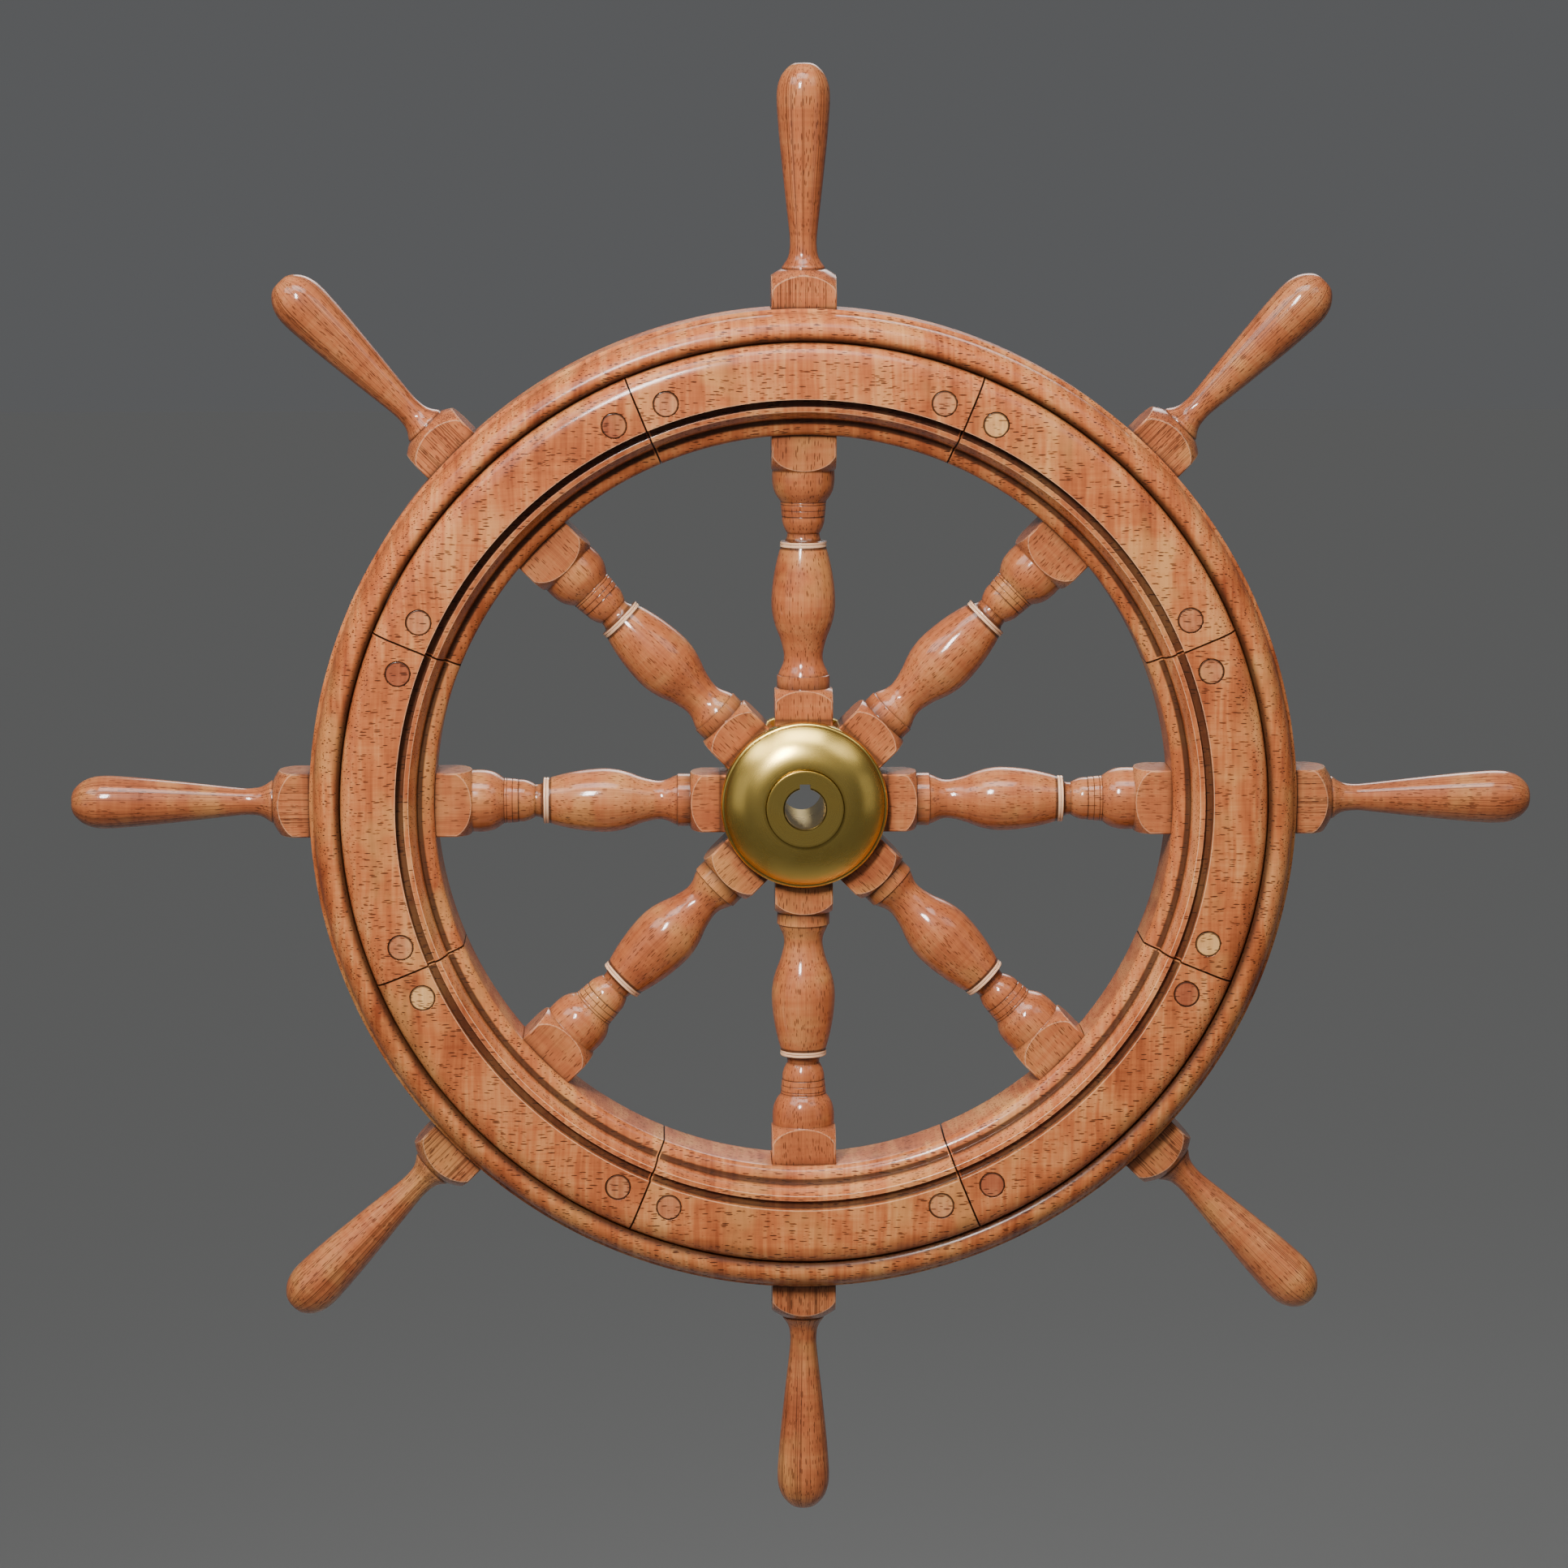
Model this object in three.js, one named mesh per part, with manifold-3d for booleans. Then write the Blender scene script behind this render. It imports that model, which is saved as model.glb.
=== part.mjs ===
// Ship steering wheel: eight turned spokes with handles, a rim of eight felloes held between
// two outer hoops, and a brass hub with a keyed bore.
// Millimetres. The wheel turns about Y, its front faces -Y, +Z is up, and the origin is the
// centre of the bore, halfway between the two faces.

import * as THREE from 'three';
import { mergeVertices } from 'three/addons/utils/BufferGeometryUtils.js';
import Module from 'manifold-3d';

const wasm = await Module();
wasm.setup();

// ---- Driving dimensions ------------------------------------------------------------------

const spokeCount = 8;
const fitGap = 0.3;                 // clearance between any two pieces that touch

// Rim
const rimOuterRadius = 307.7;
const hoopWidth = 19.6;             // radial
const felloeWidth = 58.0;           // radial
const facingThickness = 92.2;       // through the rim, over the two facings
const hoopCrestInset = 6.1;         // hoop crest below the facing
const hoopGrooveInset = 9.6;        // dark line between hoop and facing, below the facing
const hoopCrestWidth = 4.4;         // hoop's inner edge to its crest
const hoopFacet = 2.6;              // small facet along the hoop's outer edge
const edgeCover = 0.7;              // wood left over a spoke block at the inner wall
const hoopEdgeCover = 1.7;          // the same at the outer wall
const facingWidth = 34.8;           // radial, rounded edge included
const facingRoundWidth = 13.1;
const quirkWidth = 4.6;             // narrow groove inside the facing
const quirkDepth = 9.0;
const beadInset = 5.6;              // bead's top below the facing
const beadLandWidth = 3.2;
const beadBevelWidth = 3.6;
const beadBevelDrop = 6.0;
const beadStepWidth = 2.0;
const innerBandRise = 6.6;          // inner band above the inner wall's edge

// Spokes
const hubBlockWidth = 36.0;         // square
const hubBlockReach = 18.9;         // past the hub flange
const hubShoulderLength = 7.2;      // turned round of the square's end
const rimBlockWidth = 40.0;         // square
const rimBlockInnerReach = 22.8;    // past the rim's inner wall
const rimBlockOuterReach = 23.8;    // past the rim's outer wall
const rimShoulderLength = 9.5;
const collarLength = 8.2;
const collarRadius = 16.5;
const coveLength = 16.0;
const coveRadius = 12.2;
const vaseRiseLength = 24.1;
const vaseRadius = 20.0;
const vaseFootRadius = 14.1;
const ringLength = 3.6;
const ringRadius = 14.5;
const neckLength = 15.1;
const neckRadius = 10.2;
const reedCount = 3;
const reedLength = 3.35;
const reedRadius = 14.3;
const reedGrooveDepth = 0.9;
const bulbLength = 19.0;
const bulbRadius = 19.6;

// Handles
const handleLength = 125.7;
const handleFootRadius = 13.2;
const handleFootLength = 9.2;
const handleNeckRadius = 8.3;
const handleNeckLength = 8.0;
const gripRadius = 16.45;
const gripEndLength = 22.9;         // round end, from the widest place to the tip

// Loose tenons and dowels of the felloe joints
const dowelDiameter = 15.3;
const dowelCircleInset = 23.3;      // from the hoop's inner edge
const dowelOffset = 17.15;          // from the joint
const tenonThickness = 16.0;
const tenonWidth = 32.0;            // radial
const tenonEndCover = 10.0;         // tenon past the outside of its dowels

// Hub
const hubLength = 87.0;
const boreDiameter = 25.4;
const keywayWidth = 6.6;
const keywayTop = 15.5;             // from the axis
const barrelRadius = 23.9;
const bossStandOut = 3.4;           // barrel end past the dome
const flangeRadius = 52.0;
const flangeThickness = 10.8;
const flangeStep = 1.0;             // flange's rim behind the dome's edge
const domeRadius = 49.7;
const barrelChamfer = 0.8;
const screwCircleRadius = 38.0;
const screwShankRadius = 3.0;
const screwHeadRadius = 5.0;
const screwHeadHeight = 4.0;
const screwHeadSink = 1.6;          // head's top below the dome
const screwSlotWidth = 1.4;
const screwSlotDepth = 1.6;
const screwGripDepth = 10.0;        // thread in the front plate

// ---- Worked-out places -------------------------------------------------------------------

const stationAngle = (2 * Math.PI) / spokeCount;
const hoopInnerRadius = rimOuterRadius - hoopWidth;
const felloeOuterRadius = hoopInnerRadius - fitGap;
const rimInnerRadius = hoopInnerRadius - felloeWidth;
const facingHalf = facingThickness / 2;
const innerWallHalf = rimBlockWidth / 2 + fitGap + edgeCover;
const hoopEdgeHalf = rimBlockWidth / 2 + fitGap + hoopEdgeCover;
const dowelCircleRadius = hoopInnerRadius - dowelCircleInset;
const dowelAngle = Math.asin(dowelOffset / dowelCircleRadius);
const tenonLength = 2 * (dowelOffset + dowelDiameter / 2 + tenonEndCover);

const flangeFace = hubBlockWidth / 2 + fitGap;
const domeEdge = flangeFace + flangeThickness;
const domeTop = hubLength / 2 - bossStandOut;
const hubBlockEnd = flangeRadius + hubBlockReach;
const rimBlockStart = rimInnerRadius - rimBlockInnerReach;
const rimBlockEnd = rimOuterRadius + rimBlockOuterReach;
const handleTip = rimBlockEnd + handleLength;

const turnedSegments = 12;
const rimSegments = 6 * spokeCount;
const hubSegments = 4 * spokeCount;
const dowelSegments = 12;
const screwSegments = 8;

// ---- Materials ---------------------------------------------------------------------------

const mahogany = new THREE.MeshStandardMaterial({ color: 0xa5613a, roughness: 0.3, metalness: 0.0 });
const mahoganyHoop = new THREE.MeshStandardMaterial({ color: 0x9c5833, roughness: 0.3, metalness: 0.0 });
const mahoganySpoke = new THREE.MeshStandardMaterial({ color: 0xa15c37, roughness: 0.25, metalness: 0.0 });
const dowelWood = new THREE.MeshStandardMaterial({ color: 0xb37340, roughness: 0.35, metalness: 0.0 });
const tenonWood = new THREE.MeshStandardMaterial({ color: 0x8f5a36, roughness: 0.6, metalness: 0.0 });
const brass = new THREE.MeshStandardMaterial({ color: 0xb99a56, roughness: 0.35, metalness: 1.0 });

// ---- Solids ------------------------------------------------------------------------------

// A closed geometry as a solid that can be joined and cut.
function solid(geometry) {
  const bare = geometry.clone();
  bare.deleteAttribute('normal');
  bare.deleteAttribute('uv');
  const merged = mergeVertices(bare, 1e-4);
  const corners = merged.index.array;
  const triVerts = [];
  for (let i = 0; i < corners.length; i += 3) {
    const [a, b, c] = [corners[i], corners[i + 1], corners[i + 2]];
    if (a !== b && b !== c && c !== a) triVerts.push(a, b, c);
  }
  return new wasm.Manifold(new wasm.Mesh({
    numProp: 3,
    vertProperties: new Float32Array(merged.attributes.position.array),
    triVerts: new Uint32Array(triVerts),
  }));
}

// A solid back as a geometry, flat shaded.
function geometryOf(body) {
  const mesh = body.getMesh();
  const geometry = new THREE.BufferGeometry();
  geometry.setAttribute('position', new THREE.BufferAttribute(mesh.vertProperties, 3));
  geometry.setIndex(new THREE.BufferAttribute(mesh.triVerts, 1));
  geometry.computeVertexNormals();
  return geometry;
}

// A block between two corners, turned about Y by angle.
function block(from, to, angle = 0) {
  const size = to.map((high, axis) => high - from[axis]);
  const geometry = new THREE.BoxGeometry(...size);
  geometry.translate(...to.map((high, axis) => (high + from[axis]) / 2));
  geometry.rotateY(angle);
  return solid(geometry);
}

// A rod along Y, from front to back, its centre at a distance from the axis and an angle about it.
function rod(radius, front, back, distance, angle, segments = dowelSegments) {
  const geometry = new THREE.CylinderGeometry(radius, radius, back - front, segments);
  geometry.translate(0, (front + back) / 2, distance);
  geometry.rotateY(angle);
  return solid(geometry);
}

// The slice of the wheel around +Z that one station owns, half a gap short at each side.
function stationSlice(reach, halfDepth) {
  const half = stationAngle / 2;
  const side = reach * Math.tan(half) - fitGap / 2 / Math.cos(half);
  const slice = new THREE.Shape();
  slice.moveTo(0, fitGap / 2 / Math.sin(half));
  slice.lineTo(side, reach);
  slice.lineTo(-side, reach);
  slice.closePath();
  const geometry = new THREE.ExtrudeGeometry(slice, { depth: 2 * halfDepth, bevelEnabled: false });
  geometry.translate(0, 0, -halfDepth);
  geometry.rotateX(Math.PI / 2);
  return solid(geometry);
}

// A quarter ellipse between two points of an outline. It leaves the first point along the
// radius when flatFirst is true, and reaches the second one along the radius when it is false.
function quarterRound(from, to, flatFirst, steps) {
  const points = [];
  for (let i = 0; i <= steps; i++) {
    const turn = (i / steps) * (Math.PI / 2);
    const [across, along] = flatFirst
      ? [Math.sin(turn), 1 - Math.cos(turn)]
      : [1 - Math.cos(turn), Math.sin(turn)];
    points.push([from[0] + (to[0] - from[0]) * across, from[1] + (to[1] - from[1]) * along]);
  }
  return points;
}

// A ring about Y from an outline of [radius, y] points that runs round the section with the
// outer side towards +Y.
function ring(outline, segments) {
  const points = [...outline, outline[0]].map(([radius, y]) => new THREE.Vector2(radius, y));
  return solid(new THREE.LatheGeometry(points, segments));
}

// ---- Rim ---------------------------------------------------------------------------------

// Front half of a felloe's section, from its outer wall over the facing, the quirk, the bead
// and the inner band to its inner wall, as [radius, height above the middle plane].
function felloeFront() {
  const facingInner = hoopInnerRadius - facingWidth;
  const beadOuter = facingInner - quirkWidth;
  const bevelTop = beadOuter - beadLandWidth;
  const bevelFoot = bevelTop - beadBevelWidth;
  const bandTop = bevelFoot - beadStepWidth;
  const beadTop = facingHalf - beadInset;
  return [
    ...quarterRound([felloeOuterRadius, facingHalf - hoopGrooveInset],
      [hoopInnerRadius - facingRoundWidth, facingHalf], false, 2),
    [facingInner, facingHalf],
    [facingInner, facingHalf - quirkDepth],
    [beadOuter, facingHalf - quirkDepth],
    [beadOuter, beadTop],
    [bevelTop, beadTop],
    [bevelFoot, beadTop - beadBevelDrop],
    ...quarterRound([bandTop, innerWallHalf + innerBandRise], [rimInnerRadius, innerWallHalf], true, 2),
  ];
}

function felloe() {
  const front = felloeFront();
  const outline = [
    ...front.map(([radius, height]) => [radius, -height]).reverse(),
    ...front,
  ];
  const mortise = rimBlockWidth / 2 + fitGap;
  let body = ring(outline, rimSegments).intersect(stationSlice(2 * rimOuterRadius, facingThickness));
  body = body.subtract(block([-mortise, -mortise, 0], [mortise, mortise, 2 * rimOuterRadius]));
  const tenonHalf = [tenonLength / 2 + fitGap, tenonThickness / 2 + fitGap];
  const tenonInner = dowelCircleRadius - tenonWidth / 2 - fitGap;
  const tenonOuter = dowelCircleRadius + tenonWidth / 2 + fitGap;
  for (const side of [-1, 1]) {
    const jointAngle = side * stationAngle / 2;
    const pocket = block([-tenonHalf[0], -tenonHalf[1], tenonInner],
      [tenonHalf[0], tenonHalf[1], tenonOuter], jointAngle);
    const bore = rod(dowelDiameter / 2 + fitGap, -facingThickness, facingThickness,
      dowelCircleRadius, jointAngle - side * dowelAngle);
    body = body.subtract(pocket).subtract(bore);
  }
  return body;
}

// One hoop, front half of the outer band, with a notch over each spoke block.
function frontHoop() {
  const crest = facingHalf - hoopCrestInset;
  const outline = [
    [hoopInnerRadius, -(facingHalf - hoopGrooveInset)],
    [hoopInnerRadius + hoopCrestWidth, -crest],
    ...quarterRound([hoopInnerRadius + hoopCrestWidth, crest],
      [rimOuterRadius - hoopFacet, hoopEdgeHalf + hoopFacet], true, 3)
      .slice(1).map(([radius, height]) => [radius, -height]),
    [rimOuterRadius, -hoopEdgeHalf],
    [rimOuterRadius, -fitGap / 2],
    [hoopInnerRadius, -fitGap / 2],
  ];
  const notch = rimBlockWidth / 2 + fitGap;
  let body = ring(outline, rimSegments);
  for (let station = 0; station < spokeCount; station++) {
    body = body.subtract(block([-notch, -notch, rimInnerRadius], [notch, notch, 2 * rimOuterRadius],
      station * stationAngle));
  }
  return body;
}

function tenon() {
  let body = block([-tenonLength / 2, -tenonThickness / 2, dowelCircleRadius - tenonWidth / 2],
    [tenonLength / 2, tenonThickness / 2, dowelCircleRadius + tenonWidth / 2]);
  for (const side of [-1, 1]) {
    body = body.subtract(rod(dowelDiameter / 2 + fitGap, -tenonThickness, tenonThickness,
      dowelCircleRadius, side * dowelAngle));
  }
  return body;
}

// ---- Spokes ------------------------------------------------------------------------------

// The turned outline of a spoke with its handle, as [radius, distance from the wheel's axis],
// from the axis at the hub to the axis at the tip. The vase's taper takes up what is left
// between the other members, and shares of a member's length place the points of its curve.
function spokeOutline() {
  const hubCorner = hubBlockWidth * Math.SQRT1_2 + fitGap;
  const rimCorner = rimBlockWidth * Math.SQRT1_2 + fitGap;
  const coveStart = hubBlockEnd + collarLength;
  const vaseStart = coveStart + coveLength;
  const vaseWidest = vaseStart + vaseRiseLength;
  const bulbStart = rimBlockStart - bulbLength;
  const reedStart = bulbStart - reedCount * reedLength;
  const neckStart = reedStart - neckLength;
  const ringStart = neckStart - ringLength;
  const vaseTaper = ringStart - vaseWidest;
  const grooveRadius = reedRadius - reedGrooveDepth;
  const handleNeck = rimBlockEnd + handleFootLength + handleNeckLength / 2;
  const gripWidest = handleTip - gripEndLength;
  const swell = gripWidest - handleNeck;

  const reeds = [[grooveRadius, reedStart]];
  for (let reed = 0; reed < reedCount; reed++) {
    const start = reedStart + reed * reedLength;
    reeds.push([reedRadius, start + reedLength / 2], [grooveRadius, start + reedLength]);
  }
  return [
    [0, barrelRadius / 2],
    [hubCorner, barrelRadius / 2],
    [hubCorner, hubBlockEnd - hubShoulderLength],
    [hubCorner * 0.86, hubBlockEnd - hubShoulderLength * 0.35],
    [collarRadius, hubBlockEnd],
    [collarRadius, coveStart],
    [coveRadius, coveStart + coveLength * 0.62],
    [vaseRadius * 0.71, vaseStart + vaseRiseLength * 0.2],
    [vaseRadius * 0.93, vaseStart + vaseRiseLength * 0.68],
    [vaseRadius, vaseWidest + vaseTaper * 0.1],
    [vaseRadius * 0.91, vaseWidest + vaseTaper * 0.6],
    [vaseFootRadius, ringStart],
    [ringRadius, ringStart],
    [ringRadius, neckStart],
    [neckRadius, neckStart + neckLength * 0.35],
    ...reeds,
    [bulbRadius * 0.94, bulbStart + bulbLength * 0.38],
    [bulbRadius, rimBlockStart],
    [rimCorner * 0.86, rimBlockStart + rimShoulderLength * 0.35],
    [rimCorner, rimBlockStart + rimShoulderLength],
    [rimCorner, rimBlockEnd - rimShoulderLength],
    [rimCorner * 0.86, rimBlockEnd - rimShoulderLength * 0.35],
    [handleFootRadius, rimBlockEnd],
    [handleNeckRadius, handleNeck - handleNeckLength / 2],
    [handleNeckRadius, handleNeck + handleNeckLength / 2],
    [gripRadius * 0.8, handleNeck + swell * 0.52],
    [gripRadius, gripWidest],
    [gripRadius * 0.87, gripWidest + gripEndLength * 0.6],
    [gripRadius * 0.4, gripWidest + gripEndLength * 0.94],
    [0, handleTip],
  ];
}

// A spoke along +Z: squared at the hub and at the rim, turned between them and out to the tip.
function spoke() {
  const outline = spokeOutline().map(([radius, distance]) => new THREE.Vector2(radius, distance));
  const lathe = new THREE.LatheGeometry(outline, turnedSegments);
  lathe.rotateX(Math.PI / 2);
  const hubHalf = hubBlockWidth / 2;
  const rimHalf = rimBlockWidth / 2;
  const turnedHalf = vaseRadius + bulbRadius;
  let blank = block([-hubHalf, -hubHalf, 0], [hubHalf, hubHalf, hubBlockEnd]);
  blank = blank.add(block([-turnedHalf, -turnedHalf, hubBlockEnd - fitGap],
    [turnedHalf, turnedHalf, rimBlockStart]));
  blank = blank.add(block([-rimHalf, -rimHalf, rimBlockStart - fitGap], [rimHalf, rimHalf, rimBlockEnd]));
  blank = blank.add(block([-turnedHalf, -turnedHalf, rimBlockEnd - fitGap],
    [turnedHalf, turnedHalf, handleTip + fitGap]));
  const barrel = solid(new THREE.CylinderGeometry(barrelRadius + fitGap, barrelRadius + fitGap,
    2 * hubLength, hubSegments));
  return solid(lathe).intersect(blank)
    .intersect(stationSlice(2 * handleTip, 2 * rimBlockWidth))
    .subtract(barrel)
    .subtract(rod(screwShankRadius + fitGap, -hubLength, hubLength, screwCircleRadius, 0, screwSegments));
}

// ---- Hub ---------------------------------------------------------------------------------

// Height of the dome above the middle plane at a radius.
function domeHeight(radius) {
  const share = (radius - barrelRadius) / (domeRadius - barrelRadius);
  return domeTop - (domeTop - domeEdge) * share ** 2.2;
}

// The dome from its edge in to the barrel, as [radius, height above the middle plane].
function domeOutline(innerRadius) {
  const steps = 3;
  const points = [[flangeRadius, flangeFace], [flangeRadius, domeEdge - flangeStep], [domeRadius, domeEdge]];
  for (let i = 1; i <= steps; i++) {
    const radius = domeRadius + (innerRadius - domeRadius) * (i / steps);
    points.push([radius, domeHeight(Math.max(radius, barrelRadius))]);
  }
  return points;
}

function screwBores(front, back, radius) {
  let bores = null;
  for (let station = 0; station < spokeCount; station++) {
    const bore = rod(radius, front, back, screwCircleRadius, station * stationAngle, screwSegments);
    bores = bores ? bores.add(bore) : bore;
  }
  return bores;
}

const screwHeadTop = domeHeight(screwCircleRadius) - screwHeadSink;
const screwHeadFoot = screwHeadTop - screwHeadHeight;
const screwPoint = flangeFace + screwGripDepth;

// The dome that closes the front, bored to fit over the barrel and tapped for the screws.
function hubFrontPlate() {
  const inner = barrelRadius + fitGap;
  const outline = domeOutline(inner).map(([radius, height]) => [radius, -height]).reverse();
  return ring([[inner, -flangeFace], ...outline], hubSegments)
    .subtract(screwBores(-screwPoint - fitGap, 0, screwShankRadius + fitGap));
}

// The barrel with its keyed bore, in one piece with the rear dome.
function hubBody() {
  const bore = boreDiameter / 2;
  const end = hubLength / 2;
  const outline = [
    [bore, -end],
    [barrelRadius - barrelChamfer, -end],
    [barrelRadius, -end + barrelChamfer],
    [barrelRadius, flangeFace],
    ...domeOutline(barrelRadius),
    [barrelRadius, end - barrelChamfer],
    [barrelRadius - barrelChamfer, end],
    [bore, end],
  ];
  return ring(outline, hubSegments)
    .subtract(block([-keywayWidth / 2, -hubLength, 0], [keywayWidth / 2, hubLength, keywayTop]))
    .subtract(screwBores(0, hubLength, screwShankRadius + fitGap))
    .subtract(screwBores(screwHeadFoot - fitGap, hubLength, screwHeadRadius + fitGap));
}

// A slotted cheese-head screw, its head to the rear.
function hubScrew() {
  const profile = [
    [0, -screwPoint],
    [screwShankRadius, -screwPoint + screwShankRadius],
    [screwShankRadius, screwHeadFoot],
    [screwHeadRadius, screwHeadFoot],
    [screwHeadRadius, screwHeadTop],
    [0, screwHeadTop],
  ];
  const points = profile.map(([radius, y]) => new THREE.Vector2(radius, y));
  const geometry = new THREE.LatheGeometry(points, screwSegments);
  geometry.translate(0, 0, screwCircleRadius);
  const slot = block(
    [-screwHeadRadius - 1, screwHeadTop - screwSlotDepth, screwCircleRadius - screwSlotWidth / 2],
    [screwHeadRadius + 1, screwHeadTop + 1, screwCircleRadius + screwSlotWidth / 2]);
  return solid(geometry).subtract(slot);
}

// ---- Assembly ----------------------------------------------------------------------------

const wheel = new THREE.Group();

function place(name, geometry, material, angle = 0) {
  const mesh = new THREE.Mesh(geometry, material);
  mesh.name = name;
  mesh.rotation.y = angle;
  wheel.add(mesh);
}

const spokeGeometry = geometryOf(spoke());
const felloeGeometry = geometryOf(felloe());
const tenonGeometry = geometryOf(tenon());
const screwGeometry = geometryOf(hubScrew());
const dowelGeometry = geometryOf(rod(dowelDiameter / 2, -facingHalf, facingHalf, dowelCircleRadius, 0));
const hoopGeometry = geometryOf(frontHoop());

place('hub_body', geometryOf(hubBody()), brass);
place('hub_front_plate', geometryOf(hubFrontPlate()), brass);

// Station 1 is at the top, and the others follow clockwise as seen from the front.
for (let station = 0; station < spokeCount; station++) {
  const angle = station * stationAngle;
  const number = station + 1;
  const joint = angle + stationAngle / 2;
  place(`spoke_${number}`, spokeGeometry, mahoganySpoke, angle);
  place(`felloe_${number}`, felloeGeometry, mahogany, angle);
  place(`hub_screw_${number}`, screwGeometry, brass, angle);
  place(`rim_tenon_${number}`, tenonGeometry, tenonWood, joint);
  place(`rim_dowel_${2 * number - 1}`, dowelGeometry, dowelWood, joint - dowelAngle);
  place(`rim_dowel_${2 * number}`, dowelGeometry, dowelWood, joint + dowelAngle);
}

// The rear hoop is the front one turned half round the vertical.
place('hoop_front', hoopGeometry, mahoganyHoop);
place('hoop_rear', hoopGeometry.clone().rotateZ(Math.PI), mahoganyHoop);

export default wheel;
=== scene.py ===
# %% [markdown]
# # A ship's steering wheel, finished around its CAD frame
# The CAD model gives every piece of the wheel its size and place. This script keeps those and
# makes the surfaces: smooth turned spokes, moulded felloes, bent hoops, wooden plugs and a
# brass hub. Everything is in metres, with the shaft along Y, the front towards -Y and +Z up.

# %% Load the frame
import math

import bmesh
import bpy
import numpy as np
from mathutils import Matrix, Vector


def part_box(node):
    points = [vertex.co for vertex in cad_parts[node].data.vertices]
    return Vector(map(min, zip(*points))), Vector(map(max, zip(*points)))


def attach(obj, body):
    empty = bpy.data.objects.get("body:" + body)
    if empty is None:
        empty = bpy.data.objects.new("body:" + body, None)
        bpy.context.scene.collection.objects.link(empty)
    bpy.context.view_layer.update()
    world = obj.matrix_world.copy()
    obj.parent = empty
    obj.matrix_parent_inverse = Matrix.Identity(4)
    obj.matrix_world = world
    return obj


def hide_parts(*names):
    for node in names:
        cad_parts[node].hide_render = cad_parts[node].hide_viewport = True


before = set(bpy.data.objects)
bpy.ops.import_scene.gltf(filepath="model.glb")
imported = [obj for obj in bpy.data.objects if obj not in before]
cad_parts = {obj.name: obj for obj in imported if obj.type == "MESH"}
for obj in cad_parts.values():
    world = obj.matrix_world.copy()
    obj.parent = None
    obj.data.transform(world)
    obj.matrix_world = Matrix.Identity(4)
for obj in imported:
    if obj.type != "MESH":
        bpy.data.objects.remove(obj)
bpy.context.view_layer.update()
MM = 0.001
SPOKES = 8
STATION = math.tau / SPOKES

# %% [markdown]
# ## Camera, floor and light
# The wheel hangs on its shaft, high above a pale floor, so that its shadow falls out of sight.
# A long lens looks at the front from a little above the shaft. A narrow lamp high on the left
# gives the turned wood its bright streaks, three panels above light the brass dome, dim cards
# at the sides keep its edges from going black, and a last lamp lights the back.

# %% Camera
CAMERA_DISTANCE = 3.1847
CAMERA_AZIMUTH = math.radians(-1.61)
CAMERA_ELEVATION = math.radians(8.27)

camera_data = bpy.data.cameras.new("camera")
camera_data.sensor_width = 36
camera_data.lens = 116.6
camera_data.shift_x = -0.0123
camera_data.shift_y = 0.0098
camera = bpy.data.objects.new("camera", camera_data)
camera.location = CAMERA_DISTANCE * Vector((
    math.sin(CAMERA_AZIMUTH) * math.cos(CAMERA_ELEVATION),
    -math.cos(CAMERA_AZIMUTH) * math.cos(CAMERA_ELEVATION),
    math.sin(CAMERA_ELEVATION)))
camera.rotation_euler = (-camera.location).to_track_quat("-Z", "Y").to_euler()
bpy.context.scene.collection.objects.link(camera)
bpy.context.scene.camera = camera
print("camera at", [round(c, 3) for c in camera.location])


# %% Floor and lamps
FLOOR_HEIGHT = -1.8

bpy.ops.object.select_all(action="DESELECT")
bpy.ops.mesh.primitive_plane_add(size=60, location=(0, 0, FLOOR_HEIGHT))
floor = bpy.context.object
floor.name = "floor"
floor_material = bpy.data.materials.new("pale floor")
floor_material.use_nodes = True
floor_shader = floor_material.node_tree.nodes["Principled BSDF"]
floor_shader.inputs["Base Color"].default_value = (0.50, 0.50, 0.49, 1)
floor_shader.inputs["Roughness"].default_value = 0.9
floor_shader.inputs["Specular IOR Level"].default_value = 0.1
floor.data.materials.append(floor_material)

world = bpy.data.worlds.new("studio")
world.use_nodes = True
world.node_tree.nodes["Background"].inputs["Color"].default_value = (0.95, 0.97, 1.0, 1)
world.node_tree.nodes["Background"].inputs["Strength"].default_value = 0.11
bpy.context.scene.world = world


def lamp(name, azimuth, elevation, distance, size, power, spread=180):
    """A soft lamp of some width and height that looks at the hub. Azimuth is from the front to
    +X, and spread is the angle of its beam."""
    data = bpy.data.lights.new(name, "AREA")
    data.shape = "RECTANGLE"
    data.size, data.size_y = size
    data.energy = power
    data.spread = math.radians(spread)
    light = bpy.data.objects.new(name, data)
    turn, rise = math.radians(azimuth), math.radians(elevation)
    light.location = distance * Vector((
        math.sin(turn) * math.cos(rise), -math.cos(turn) * math.cos(rise), math.sin(rise)))
    light.rotation_euler = (-light.location).to_track_quat("-Z", "Y").to_euler()
    bpy.context.scene.collection.objects.link(light)


lamp("key", -17, 33, 3.2, (0.36, 0.8), 13.4, spread=60)
lamp("overhead", -8, 64, 2.3, (1.6, 0.8), 6.6, spread=76)
lamp("left panel", -54, 44, 2.4, (1.2, 0.8), 2.2, spread=66)
lamp("right panel", 46, 42, 2.4, (1.2, 0.8), 0.7, spread=60)
lamp("left card", -58, 4, 2.6, (1.1, 1.3), 1.9)
lamp("right card", 58, 4, 2.6, (1.1, 1.3), 1.5)
lamp("rear", 172, 30, 3.0, (1.8, 1.2), 2.5, spread=46)

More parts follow.
